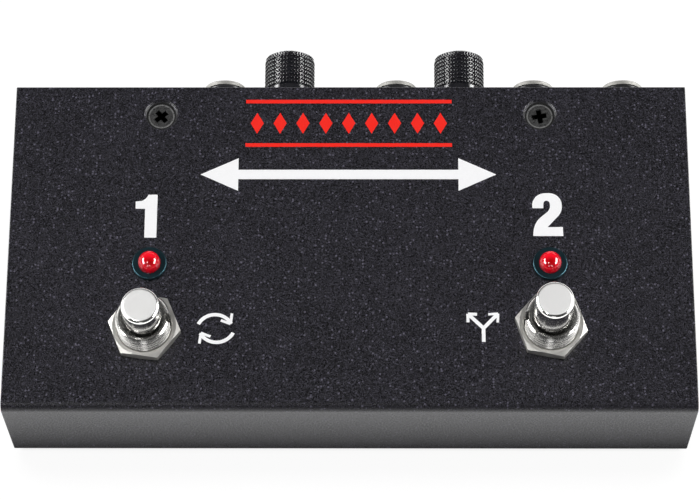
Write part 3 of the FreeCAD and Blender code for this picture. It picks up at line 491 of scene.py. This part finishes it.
class Finish(Tree):
    """A procedural surface: colour, roughness and relief come from the place on the object."""

    def __init__(self, name, **uniform):
        self.material = bpy.data.materials.new(name)
        self.material.use_nodes = True
        super().__init__(self.material.node_tree)
        self.shader = self.tree.nodes["Principled BSDF"]
        self.place = self.node("TexCoord", {}).outputs["Object"]
        self.relief = None
        for socket, value in uniform.items():
            self.shader.inputs[socket.replace("_", " ")].default_value = value

    def noise(self, size, detail=2.0, place=None, stretch=(1, 1, 1)):
        """Cloudy noise from 0 to 1 with features of a size in metres."""
        place = place or self.place
        if stretch != (1, 1, 1):
            place = self.node("VectorMath", {0: place, 1: stretch}, operation="MULTIPLY").outputs[0]
        sockets = {"Vector": place, "Scale": 1 / size, "Detail": detail}
        return self.node("TexNoise", sockets).outputs[0]

    def painted_glints(self, spacing, size, core, chance):
        """Small dots that fade from a core outward, in some of the cells of a net."""
        cells = self.node("TexVoronoi", {"Vector": self.place, "Scale": 1 / spacing})
        near = self.remap(cells.outputs["Distance"], size, core)
        draw = self.node("SeparateColor", {0: cells.outputs["Color"]}).outputs[0]
        chosen = self.math("GREATER_THAN", draw, 1 - chance)
        return self.math("MULTIPLY", near, chosen)

    def rings(self, left, right):
        """Distance and height from the left or the right of two upright axes."""
        x, y, z = self.parts(self.place)
        side = self.math("GREATER_THAN", x, 0.0)
        centre_x = self.math("MULTIPLY_ADD", side, right.x - left.x, left.x)
        centre_y = self.math("MULTIPLY_ADD", side, right.y - left.y, left.y)
        across = self.math("SUBTRACT", x, centre_x)
        along = self.math("SUBTRACT", y, centre_y)
        flat = self.node("CombineXYZ", {0: across, 1: along}).outputs[0]
        radius = self.node("VectorMath", {0: flat}, operation="LENGTH").outputs["Value"]
        return self.node("CombineXYZ", {0: radius, 2: z}).outputs[0]

    def tone(self, share, dark, light):
        """Colours the surface between two tones."""
        self.plug(self.shader.inputs["Base Color"], self.mix(share, (*dark, 1), (*light, 1)))

    def rough(self, share, low, high):
        """Roughens the surface between two values, by a noise."""
        self.plug(self.shader.inputs["Roughness"], self.remap(share, *noise_span, low, high))

    def bump(self, height, depth, strength=1.0):
        """Adds a relief on top of those before it."""
        sockets = {"Height": height, "Distance": depth, "Strength": strength}
        if self.relief:
            sockets["Normal"] = self.relief
        self.relief = self.node("Bump", sockets).outputs[0]
        self.plug(self.shader.inputs["Normal"], self.relief)


def cover_screw_centres():
    """The axes of the left and the right screw of the cover, which are one node."""
    low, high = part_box("cover_screws")
    reach = Vector(((high.x - low.x - high.y + low.y) / 2, 0, 0))
    return (low + high) / 2 - reach, (low + high) / 2 + reach


def powder_coat():
    """Black powder coat: pebbled, with brighter dots of painted glint, and a black, rough ring of painted
    shadow round each cover screw's head.
    """
    made = Finish("powder_coat", IOR=powder_index)
    grain = made.noise(powder_grain, powder_grain_detail)
    patches = made.remap(made.noise(powder_patch), *noise_span, *powder_patch_share)
    share = made.math("POWER", made.remap(grain, *powder_grain_span), powder_grain_power)
    share = made.math("MULTIPLY_ADD", share, powder_grain_share, patches)
    # Dots of painted glint, brightening the coat's colour
    painted_glints = made.painted_glints(
        powder_glint_spacing, powder_glint_size, powder_glint_core, powder_glint_chance,
    )
    share = made.math("MULTIPLY_ADD", painted_glints, powder_glint_share, share)
    # A ring round each cover screw's head is painted black, as the shadow under the head's edge, and made
    # rough
    rings = made.rings(*cover_screw_centres())
    outside_painted_shadow = made.remap(made.parts(rings)["X"], *powder_painted_shadow_ring)
    made.tone(made.math("MULTIPLY", share, outside_painted_shadow), powder_dark, powder_light)
    grain_rough = made.remap(made.noise(powder_grain * 2), *noise_span, *powder_roughness)
    in_painted_shadow = made.math("SUBTRACT", 1.0, outside_painted_shadow)
    made.plug(made.shader.inputs["Roughness"], made.math("MAXIMUM", grain_rough, in_painted_shadow))
    made.bump(grain, powder_depth)
    return made.material


def black_screw():
    """Black oxide, brushed, with a painted highlight on the rims of the cover's screws and painted shade in
    their recesses.

    The bottom screws, in the lower half of the case, have no painted shade in their recesses.
    """
    made = Finish("black_screw", Metallic=1.0)
    brushed = made.noise(screw_brush, screw_brush_detail, stretch=screw_brush_stretch)
    place = made.parts(made.rings(*cover_screw_centres()))
    head_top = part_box("cover_screws")[1].z
    # Below the head's top the recess is painted black, as shade
    on_head = made.remap(place["Z"], head_top - screw_painted_shade_depth, head_top - screw_lit_depth)
    underneath = made.math("LESS_THAN", place["Z"], head_top / 2)
    lit = made.math("MAXIMUM", on_head, underneath)
    # A lighter ring on the head's rim is a painted highlight
    rim = made.math("MULTIPLY", made.remap(place["X"], *screw_painted_highlight_rim), on_head)
    streaks = made.remap(brushed, *noise_span, *screw_brush_share)
    share = made.math("MULTIPLY_ADD", rim, screw_painted_highlight_share, streaks)
    made.tone(made.math("MULTIPLY", share, lit), screw_dark, screw_light)
    made.rough(made.noise(screw_brush * 2), *screw_roughness)
    made.bump(brushed, screw_brush_depth)
    return made.material


def ink(name, dark, light):
    """Printed ink that follows the grain under it."""
    made = Finish(name, IOR=ink_index)
    grain = made.noise(powder_grain)
    made.tone(grain, dark, light)
    made.rough(made.noise(ink_patch), *ink_roughness)
    made.bump(grain, powder_depth * ink_relief_share)
    return made.material


def metal(name, dark, light, roughness, mark=0.6 * mm, stretch=(1, 1, 1), depth=0.002 * mm):
    """Plated or bare metal with fine marks and a faint unevenness."""
    made = Finish(name, Metallic=1.0)
    marks = made.noise(mark, metal_mark_detail, stretch=stretch)
    made.tone(made.noise(metal_patch, metal_patch_detail), dark, light)
    made.rough(marks, *roughness)
    made.bump(marks, depth)
    return made.material


def moulded(name, dark, light, roughness, grain=0.25 * mm, depth=0.004 * mm, **uniform):
    """Moulded plastic or rubber with a fine texture and slight flow marks."""
    made = Finish(name, **uniform)
    made.tone(made.noise(moulded_flow, moulded_flow_detail), dark, light)
    made.rough(made.noise(grain * moulded_patch_grains), *roughness)
    made.bump(made.noise(grain), depth)
    return made.material


def lens():
    """Tinted resin, very glossy: deep red where seen straight on and brighter toward its rim, as painted
    light gathered in the resin.
    """
    coat = {"Coat_Weight": 1.0, "Coat_IOR": lens_coat_index, "Coat_Roughness": lens_coat_roughness}
    made = Finish("red_lens", IOR=lens_index, **coat)
    cloud = made.noise(lens_cloud)
    # Brighter where the surface turns away from the view: painted light
    facing = made.node("LayerWeight", {"Blend": 0.5}).outputs["Facing"]
    rim = made.remap(facing, *lens_painted_light_facing, 0.0, lens_painted_light_share)
    made.tone(made.math("MULTIPLY_ADD", cloud, lens_cloud_share, rim), lens_dark, lens_light)
    made.rough(made.noise(lens_patch), *lens_roughness)
    made.bump(made.noise(lens_wave), lens_wave_depth)
    return made.material


def board():
    """Green lacquered board with copper lines under the lacquer."""
    made = Finish("board_green", Coat_Weight=board_coat, Coat_Roughness=board_coat_roughness)
    net = {"Vector": made.place, "Scale": board_lines_per_metre, "Mortar Size": board_line_width}
    lines = made.node("TexBrick", net).outputs["Fac"]
    made.tone(made.math("MULTIPLY", lines, made.noise(board_line_patch)), board_dark, board_light)
    made.rough(made.noise(board_patch), *board_roughness)
    made.bump(lines, board_line_depth)
    return made.material


def banded(name, body, band, pitch, axis, share):
    """Plastic sleeve with bands of a second colour along one axis."""
    made = Finish(name)
    along = made.parts(made.place)[axis]
    wave = made.math("FRACT", made.math("DIVIDE", along, pitch))
    band_here = made.math("LESS_THAN", wave, share)
    made.tone(band_here, body, band)
    made.rough(made.noise(banded_patch), *banded_roughness)
    made.bump(made.noise(banded_grain), banded_depth)
    return made.material


def turned_marks(made):
    """Places round the footswitches' axes, for the marks left by turning."""
    return made.rings(centre_of("switch_plunger_1"), centre_of("switch_plunger_2"))


def turned_nickel():
    """Bright plating over rings left by turning."""
    made = Finish("bright_nickel", Metallic=1.0)
    rings = made.noise(turned_ring, turned_ring_detail, turned_marks(made))
    made.tone(made.remap(rings, *turned_ring_span), turned_dark, turned_light)
    made.rough(made.noise(turned_grain, metal_mark_detail), *turned_roughness)
    made.bump(rings, turned_depth)
    return made.material


def plunger_nickel():
    """Bright turned sides and a finely blasted top."""
    made = Finish("satin_nickel", Metallic=1.0)
    facing = made.parts(made.node("TexCoord", {}).outputs["Normal"])["Z"]
    top = made.remap(facing, *plunger_top_facing)
    marks = made.noise(plunger_mark, plunger_mark_detail, turned_marks(made), plunger_mark_stretch)
    blast = made.noise(plunger_blast)
    share = made.math("MULTIPLY_ADD", made.noise(plunger_patch), plunger_patch_share, top)
    made.tone(share, plunger_dark, plunger_light)
    roughness = made.remap(top, 0.0, 1.0, *plunger_roughness)
    roughness = made.math("MULTIPLY_ADD", blast, plunger_blast_roughness, roughness)
    made.plug(made.shader.inputs["Roughness"], roughness)
    made.bump(marks, plunger_mark_depth)
    made.bump(blast, plunger_blast_depth, top)
    return made.material


def slot_name(material):
    """A material's name, without the number that tells it from a namesake."""
    return material.name.split(".")[0]


def make_finishes():
    """One finish for each of the record's material slots."""
    made = [
        powder_coat(),
        black_screw(),
        turned_nickel(),
        metal(
            "nut_nickel", dark=(0.46, 0.45, 0.43), light=(0.66, 0.65, 0.62), roughness=(0.34, 0.5),
            mark=0.5 * mm, stretch=(1, 4, 1), depth=0.006 * mm,
        ),
        plunger_nickel(),
        metal(
            "zinc_steel", dark=(0.45, 0.46, 0.48), light=(0.62, 0.63, 0.64), roughness=(0.28, 0.45),
            mark=0.8 * mm,
        ),
        moulded(
            "jack_plastic", dark=(0.008, 0.008, 0.01), light=(0.018, 0.018, 0.022),
            roughness=(0.28, 0.42),
        ),
        # The bezels' plastic has a dark blue sheen like metal
        metal(
            "bezel_plastic", dark=(0.02, 0.055, 0.07), light=(0.045, 0.09, 0.11),
            roughness=(0.3, 0.4),
        ),
        moulded(
            "housing_plastic", dark=(0.01, 0.022, 0.06), light=(0.018, 0.034, 0.085),
            roughness=(0.3, 0.45),
        ),
        lens(),
        metal("jack_metal", dark=(0.27, 0.265, 0.25), light=(0.36, 0.355, 0.34), roughness=(0.62, 0.75)),
        metal("contact_brass", dark=(0.62, 0.46, 0.2), light=(0.78, 0.6, 0.3), roughness=(0.2, 0.35)),
        metal("spring_steel", dark=(0.4, 0.4, 0.41), light=(0.56, 0.56, 0.57), roughness=(0.22, 0.36)),
        moulded(
            "knob_black", dark=(0.003, 0.003, 0.005), light=(0.01, 0.009, 0.014), roughness=(0.12, 0.2),
            grain=0.2 * mm, depth=0.002 * mm, IOR=1.75,
        ),
        metal("shaft_metal", dark=(0.55, 0.55, 0.55), light=(0.68, 0.68, 0.67), roughness=(0.2, 0.35)),
        metal("tinned_wire", dark=(0.55, 0.56, 0.57), light=(0.72, 0.73, 0.74), roughness=(0.22, 0.38)),
        board(),
        moulded("relay_case", dark=(0.55, 0.54, 0.5), light=(0.66, 0.65, 0.61), roughness=(0.3, 0.42)),
        metal(
            "iron_core", dark=(0.2, 0.19, 0.18), light=(0.34, 0.33, 0.32), roughness=(0.35, 0.55),
            mark=0.5 * mm, stretch=(1, 6, 1), depth=0.02 * mm,
        ),
        moulded(
            "coil_tape", dark=(0.5, 0.28, 0.03), light=(0.66, 0.42, 0.07), roughness=(0.22, 0.38),
            grain=0.6 * mm, depth=0.02 * mm,
        ),
        moulded("chip_black", dark=(0.01, 0.01, 0.011), light=(0.02, 0.02, 0.021), roughness=(0.45, 0.6)),
        banded(
            "can_sleeve", body=(0.012, 0.014, 0.02), band=(0.4, 0.41, 0.42),
            pitch=11.3 * mm, axis=0, share=0.1,
        ),
        banded(
            "resistor_body", body=(0.16, 0.34, 0.46), band=(0.05, 0.02, 0.012),
            pitch=1.6 * mm, axis=0, share=0.3,
        ),
        moulded(
            "rubber", dark=(0.012, 0.012, 0.012), light=(0.026, 0.026, 0.026), roughness=(0.6, 0.8),
            grain=0.4 * mm, depth=0.02 * mm,
        ),
    ]
    return {slot_name(material): material for material in made}


def give_finishes(finishes):
    """Puts each finish on the CAD nodes whose slot has that name."""
    for node in nodes.values():
        for index, slot in enumerate(node.data.materials):
            if slot_name(slot) in finishes:
                node.data.materials[index] = finishes[slot_name(slot)]


# Meshes


def make_piece(name, mesh, material, body=None):
    """An object with smooth faces and crisp edges, which may ride on a body."""
    bm = bmesh.new()
    bm.from_mesh(mesh)
    bmesh.ops.recalc_face_normals(bm, faces=bm.faces)
    for edge in bm.edges:
        edge.smooth = edge.calc_face_angle(0.0) < math.radians(crisp_angle)
    for face in bm.faces:
        face.smooth = True
    bm.to_mesh(mesh)
    bm.free()
    mesh.materials.clear()
    mesh.materials.append(material)
    piece = bpy.data.objects.new(name, mesh)
    bpy.context.scene.collection.objects.link(piece)
    if body:
        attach(piece, body)
    return piece


def skin(name, rings, start, end):
    """A closed mesh over rings of points, with a fan of triangles at each end."""
    bm = bmesh.new()
    rows = [[bm.verts.new(point) for point in ring] for ring in rings]
    count = len(rows[0])
    for lower, upper in zip(rows, rows[1:]):
        for step in range(count):
            after = (step + 1) % count
            bm.faces.new((lower[step], lower[after], upper[after], upper[step]))
    for row, tip in ((rows[0], start), (rows[-1], end)):
        centre = bm.verts.new(tip)
        for step in range(count):
            bm.faces.new((row[step], row[(step + 1) % count], centre))
    bmesh.ops.recalc_face_normals(bm, faces=bm.faces)
    mesh = bpy.data.meshes.new(name)
    bm.to_mesh(mesh)
    bm.free()
    return mesh


def slab(name, outline, low, high):
    """A flat solid over an outline of (x, y) points."""
    bm = bmesh.new()
    bottom = [bm.verts.new((x, y, low)) for x, y in outline]
    top = [bm.verts.new((x, y, high)) for x, y in outline]
    bm.faces.new(bottom)
    bm.faces.new(top)
    count = len(outline)
    for step in range(count):
        after = (step + 1) % count
        bm.faces.new((bottom[step], bottom[after], top[after], top[step]))
    bmesh.ops.recalc_face_normals(bm, faces=bm.faces)
    bmesh.ops.triangulate(bm, faces=[face for face in bm.faces if len(face.verts) > 4])
    mesh = bpy.data.meshes.new(name)
    bm.to_mesh(mesh)
    bm.free()
    return mesh


def rectangle(centre_x, half_width, low, high):
    """The outline of a rectangle, as (x, y) points."""
    left = centre_x - half_width
    right = centre_x + half_width
    return [(left, low), (right, low), (right, high), (left, high)]


def combined(mesh, others, operation):
    """A mesh after closed meshes are joined to it or cut from it."""
    body = bpy.data.objects.new(mesh.name, mesh)
    bpy.context.scene.collection.objects.link(body)
    tools = []
    for other in others:
        tool = bpy.data.objects.new(other.name, other)
        bpy.context.scene.collection.objects.link(tool)
        modifier = body.modifiers.new("join", "BOOLEAN")
        modifier.object = tool
        modifier.operation = operation
        modifier.solver = "EXACT"
        tools.append(tool)
    depsgraph = bpy.context.evaluated_depsgraph_get()
    made = bpy.data.meshes.new_from_object(body.evaluated_get(depsgraph))
    for used in tools + [body]:
        bpy.data.objects.remove(used)
    made.name = mesh.name
    return made


# Printed figures and signs

cover_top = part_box("top_cover")[1].z


def curved_outline(start, path):
    """An outline from straight steps (x, y) and curved steps (guide, guide, end), in millimetres."""
    points = [Vector(start)]
    for step in path:
        if len(step) == 2:
            points.append(Vector(step))
            continue
        first, second, end = (Vector(point) for point in step)
        begin = points[-1]
        for index in range(1, curve_steps + 1):
            t = index / curve_steps
            near = begin * (1 - t) ** 3 + first * (3 * t * (1 - t) ** 2)
            points.append(near + second * (3 * t * t * (1 - t)) + end * t ** 3)
    return [point * mm for point in points]


def placed(outline, x, y):
    """An outline moved to a place on the cover."""
    return [(point[0] + x, point[1] + y + case_front) for point in outline]


def print_on_cover(name, outlines, material):
    """Ink on the cover, from outlines that may overlap, each a little thicker than the one before."""
    meshes = []
    for index, outline in enumerate(outlines):
        rise = ink_height + index * ink_step
        meshes.append(slab(name, outline, cover_top - ink_sunk - index * ink_step, cover_top + rise))
    mesh = meshes[0]
    if len(meshes) > 1:
        mesh = combined(mesh, meshes[1:], "UNION")
    return make_piece(name, mesh, material, "case")


def stroke(start, end, width):
    """A straight stroke with square ends, as an outline."""
    start, end = Vector(start), Vector(end)
    side = (end - start).normalized().orthogonal() * (width / 2)
    return [start + side, end + side, end - side, start - side]


def arc_stroke(centre, radius, start, end, width):
    """A stroke along part of a circle, as an outline. Angles are in degrees."""
    outline = []
    for rim, first, last in ((radius + width / 2, start, end), (radius - width / 2, end, start)):
        for index in range(curve_steps * 2 + 1):
            angle = math.radians(first + (last - first) * index / (curve_steps * 2))
            outline.append(Vector(centre) + Vector((math.cos(angle), math.sin(angle))) * rim)
    return outline


def figure_one():
    """The outline of a bold 1 that stands on its baseline."""
    path = [(4.85, 0), (4.85, 10.4), (2.78, 10.4), ((2.6, 9.7), (1.9, 9.0), (1.2, 8.87))]
    path += [(0.05, 8.75), (0, 8.65), (0, 7.08), (0.1, 6.98), (2.15, 6.98)]
    return curved_outline((2.15, 0), path)


def figure_two():
    """The outline of a bold 2 that stands on its baseline."""
    path = [(6.79, 0), (6.72, 2.17), (3.34, 2.15), (5.75, 4.85)]
    path += [((6.35, 5.5), (6.61, 6.4), (6.61, 7.2)), ((6.61, 9.25), (5.45, 10.41), (3.4, 10.41))]
    path += [((1.3, 10.41), (0, 9.2), (0, 7.35)), (0.02, 6.85), (0.12, 6.71), (2.36, 6.71), (2.48, 6.83)]
    path += [(2.5, 7.5), ((2.5, 8.2), (2.75, 8.55), (3.22, 8.55)), ((3.7, 8.55), (3.96, 8.15), (3.96, 7.3))]
    path += [((3.96, 6.3), (3.5, 5.9), (2.45, 5.05)), ((1.2, 4.05), (0.25, 3.0), (0.1, 0.3))]
    return curved_outline((0.15, 0), path)


def swap_arrows():
    """Two curved arrows chasing each other, as outlines."""
    outlines = []
    for turn, flip in ((1, 0), (-1, 180)):
        start = swap_arc_from + flip
        end = swap_arc_to + flip
        outlines.append(arc_stroke(swap_arc_centre * turn, swap_radius, start, end, swap_stroke))
        for barb in swap_barbs:
            outlines.append(stroke(swap_tip * turn, barb * turn, swap_barb_stroke))
    return outlines


def fork_sign():
    """A stem that divides into two arrows, as outlines."""
    outlines = [stroke((0, 0), fork_junction + fork_overlap, fork_stroke)]
    for tip in (fork_left_tip, fork_right_tip):
        outlines.append(stroke(fork_junction, tip, fork_stroke))
    for barb in fork_left_barbs:
        outlines.append(stroke(fork_left_tip, barb, fork_left_barb_stroke))
    for barb in fork_right_barbs:
        outlines.append(stroke(fork_right_tip, barb, fork_right_barb_stroke))
    return outlines


def double_arrow():
    """A plain bar with an arrowhead at each end, one toward each figure."""
    inner = title_half_length - title_head_length
    half = title_bar / 2
    right = [(inner, -half), (inner, -title_head / 2), (title_half_length, 0)]
    right += [(inner, title_head / 2), (inner, half)]
    left = [(-x, -y) for x, y in right]
    return right + left


def lozenge(width, height):
    """The outline of a mark of the emblem, about its centre."""
    return [(-width / 2, 0), (0, -height / 2), (width / 2, 0), (0, height / 2)]


def make_prints():
    """The figures 1 and 2, the two signs beside the switches and two plain ornaments."""
    white = ink("white_ink", white_ink_dark, white_ink_light)
    red = ink("red_ink", red_ink_dark, red_ink_light)
    print_on_cover("figure_1", [placed(figure_one(), figure_1_x, figure_1_y)], white)
    print_on_cover("figure_2", [placed(figure_two(), figure_2_x, figure_2_y)], white)
    swap = [placed(outline, swap_centre_x, swap_y) for outline in swap_arrows()]
    print_on_cover("swap_sign", swap, white)
    fork = [placed(outline, fork_x, fork_y) for outline in fork_sign()]
    print_on_cover("fork_sign", fork, white)
    print_on_cover("double_arrow", [placed(double_arrow(), title_centre_x, title_y)], white)
    rule = stroke((-emblem_half_width, 0), (emblem_half_width, 0), emblem_rule)
    for name, side in (("rule_low", -1), ("rule_high", 1)):
        y = emblem_y + side * emblem_half_height
        print_on_cover(name, [placed(rule, emblem_centre_x, y)], red)
    pitch = 2 * emblem_half_width / emblem_marks
    for index in range(emblem_marks):
        x = emblem_centre_x - emblem_half_width + pitch * (index + 0.5)
        outline = placed(lozenge(emblem_mark_width, emblem_mark_height), x, emblem_y)
        print_on_cover("mark_" + str(index + 1), [outline], red)


# Knobs


def groove_profile(start, end, pitch, low, high, groove_share, flank_share):
    """Stations along a row of crowned pads: (place, radius) with a groove between pads."""
    count = round((end - start) / pitch)
    step = (end - start) / count
    floor = groove_share * step / 2
    flank = flank_share * step
    crown = knob_crown_share * step
    pad = [(floor, low), (floor + flank, high - knob_crown), (floor + flank + crown, high)]
    stations = []
    for index in range(count):
        begin = start + index * step
        stations += [(begin + place, reach) for place, reach in pad]
        stations += [(begin + step - place, reach) for place, reach in reversed(pad)]
    return stations


def knob_ring(centre, y, reaches):
    """Points round a knob's axis, from pairs of an angle and a radius."""
    return [(centre.x + math.cos(a) * r, y, centre.z + math.sin(a) * r) for a, r in reaches]


def knob_body(name, centre, start_y, end_y, radius):
    """A knurled knob, turned round its axis: bore, plain collar, grip and rounded lip."""
    low = radius - knob_relief
    grip_start = start_y + knob_collar + knob_gap
    grip_end = end_y - knob_lip
    collar_end = grip_start - knob_gap
    flutes = (2 * math.pi / knob_flutes, low, radius, knob_groove_share, knob_flank_share)
    turn = groove_profile(0, 2 * math.pi, *flutes)
    rows = (knob_row, low, radius, knob_row_groove_share, knob_row_flank_share)
    plain = [
        (end_y - knob_end_wall, knob_bore_radius),
        (start_y, knob_bore_radius),
        (start_y, radius - knob_collar_edge),
        (start_y + knob_collar_edge, radius),
        (collar_end - knob_collar_edge / 2, radius),
        (collar_end, radius - knob_collar_edge / 2),
        (collar_end, radius - knob_gap_depth),
        (grip_start, radius - knob_gap_depth),
    ]
    rings = [knob_ring(centre, y, [(angle, r) for angle, _ in turn]) for y, r in plain]
    for y, cap in groove_profile(grip_start, grip_end, *rows):
        rings.append(knob_ring(centre, y, [(angle, min(r, cap)) for angle, r in turn]))
    for index in range(1, knob_lip_steps + 1):
        bend = math.pi / 2 * index / knob_lip_steps
        y = grip_end + knob_lip * math.sin(bend)
        share = 1 - knob_lip / radius * (1 - math.cos(bend))
        # The flutes run out after the lip's first step
        cap = radius if index == 1 else low
        rings.append(knob_ring(centre, y, [(angle, min(r, cap) * share) for angle, r in turn]))
    inside = (centre.x, end_y - knob_end_wall, centre.z)
    return skin(name, rings, inside, (centre.x, end_y, centre.z))


def knob_mesh(name, centre, start_y, end_y, radius):
    """A knob with its pointer notch and screw hole, which reach past its surface."""
    beyond = 2 * radius
    outline = rectangle(centre.x, pointer_width / 2, end_y - pointer_depth, end_y + radius)
    notch = slab("notch", outline, centre.z + pointer_start, centre.z + beyond)
    circle = []
    for index in range(set_screw_sides):
        angle = 2 * math.pi * index / set_screw_sides
        across = math.cos(angle) * set_screw_radius
        along = start_y + set_screw_from_start + math.sin(angle) * set_screw_radius
        circle.append((centre.x + across, along))
    hole = slab("hole", circle, centre.z - beyond, centre.z)
    body = knob_body(name, centre, start_y, end_y, radius)
    return combined(body, [notch, hole], "DIFFERENCE")


def make_knobs(finishes):
    """The two level knobs, each with a line of white paint in its pointer notch."""
    paint = ink("pointer_paint", pointer_dark, pointer_light)
    for number in (1, 2):
        node = "knob_" + str(number)
        body = "level_knob_" + str(number)
        low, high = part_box(node)
        centre = centre_of(node)
        radius = (high.x - low.x) / 2
        mesh = knob_mesh("knob_grip_" + str(number), centre, low.y, high.y, radius)
        knob = make_piece(mesh.name, mesh, finishes["knob_black"], body)
        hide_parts(node)
        bottom = high.y - pointer_depth
        outline = rectangle(centre.x, pointer_width / 2, bottom, bottom + pointer_fill)
        tip = centre.z + radius - knob_lip
        line = slab("pointer_" + str(number), outline, centre.z + pointer_start, tip)
        make_piece(line.name, line, paint, body)


# Lamps


def turned_skin(name, centre, profile, start_z, end_z):
    """A closed mesh turned round an upright axis, from pairs of a radius and a height."""
    angles = [2 * math.pi * index / lamp_sides for index in range(lamp_sides)]
    rings = []
    for r, z in profile:
        rings.append([(centre.x + math.cos(a) * r, centre.y + math.sin(a) * r, z) for a in angles])
    return skin(name, rings, (centre.x, centre.y, start_z), (centre.x, centre.y, end_z))


def lens_mesh(name, node):
    """A smooth dome over a rim with softened edges."""
    low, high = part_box(node)
    rim = (high.x - low.x) / 2
    inner = rim - lamp_rim_edge
    seat = low.z + lamp_rim_height
    shoulder = high.z - lamp_radius
    profile = [(inner, low.z), (rim, low.z + lamp_rim_edge), (rim, seat - lamp_rim_edge)]
    profile += [(inner, seat), (lamp_radius, seat), (lamp_radius, shoulder)]
    for index in range(1, dome_steps):
        angle = math.pi / 2 * index / dome_steps
        profile.append((lamp_radius * math.cos(angle), shoulder + lamp_radius * math.sin(angle)))
    return turned_skin(name, centre_of(node), profile, low.z, high.z)


def cup_mesh(name, node):
    """A small cup on a stem, inside the lens."""
    low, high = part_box(node)
    foot = low.z + lamp_rim_height
    top = high.z - cup_drop
    well = top - cup_well_depth
    profile = [(cup_stem_radius, foot), (cup_stem_radius, top - cup_height)]
    profile += [(cup_radius, top), (cup_mouth_radius, top), (cup_well_radius, well)]
    return turned_skin(name, centre_of(node), profile, foot, well)


def make_lamps(finishes):
    """The two lamps: a glossy red lens over a small metal cup, which the red hides."""
    cup_finish = metal("cup_metal", cup_dark, cup_light, cup_roughness)
    for number in (1, 2):
        node = "lamp_" + str(number)
        lens_shape = lens_mesh("lamp_lens_" + str(number), node)
        piece = make_piece(lens_shape.name, lens_shape, finishes["red_lens"], "case")
        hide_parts(node)
        cup_shape = cup_mesh("lamp_cup_" + str(number), node)
        make_piece(cup_shape.name, cup_shape, cup_finish, "case")


# Springs


def make_springs(finishes):
    """The return springs, from their CAD nodes with coincident points welded, each between the case and a
    plunger.
    """
    for number in (1, 2):
        node = "return_spring_" + str(number)
        mesh = bpy.data.meshes.new("coil_spring_" + str(number))
        bm = bmesh.new()
        bm.from_mesh(nodes[node].data)
        bmesh.ops.remove_doubles(bm, verts=bm.verts, dist=spring_weld)
        bm.to_mesh(mesh)
        bm.free()
        piece = make_piece(mesh.name, mesh, finishes["spring_steel"])
        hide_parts(node)
        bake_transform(piece)


make_camera()
make_studio()
finishes = make_finishes()
give_finishes(finishes)
make_prints()
make_knobs(finishes)
make_lamps(finishes)
make_springs(finishes)
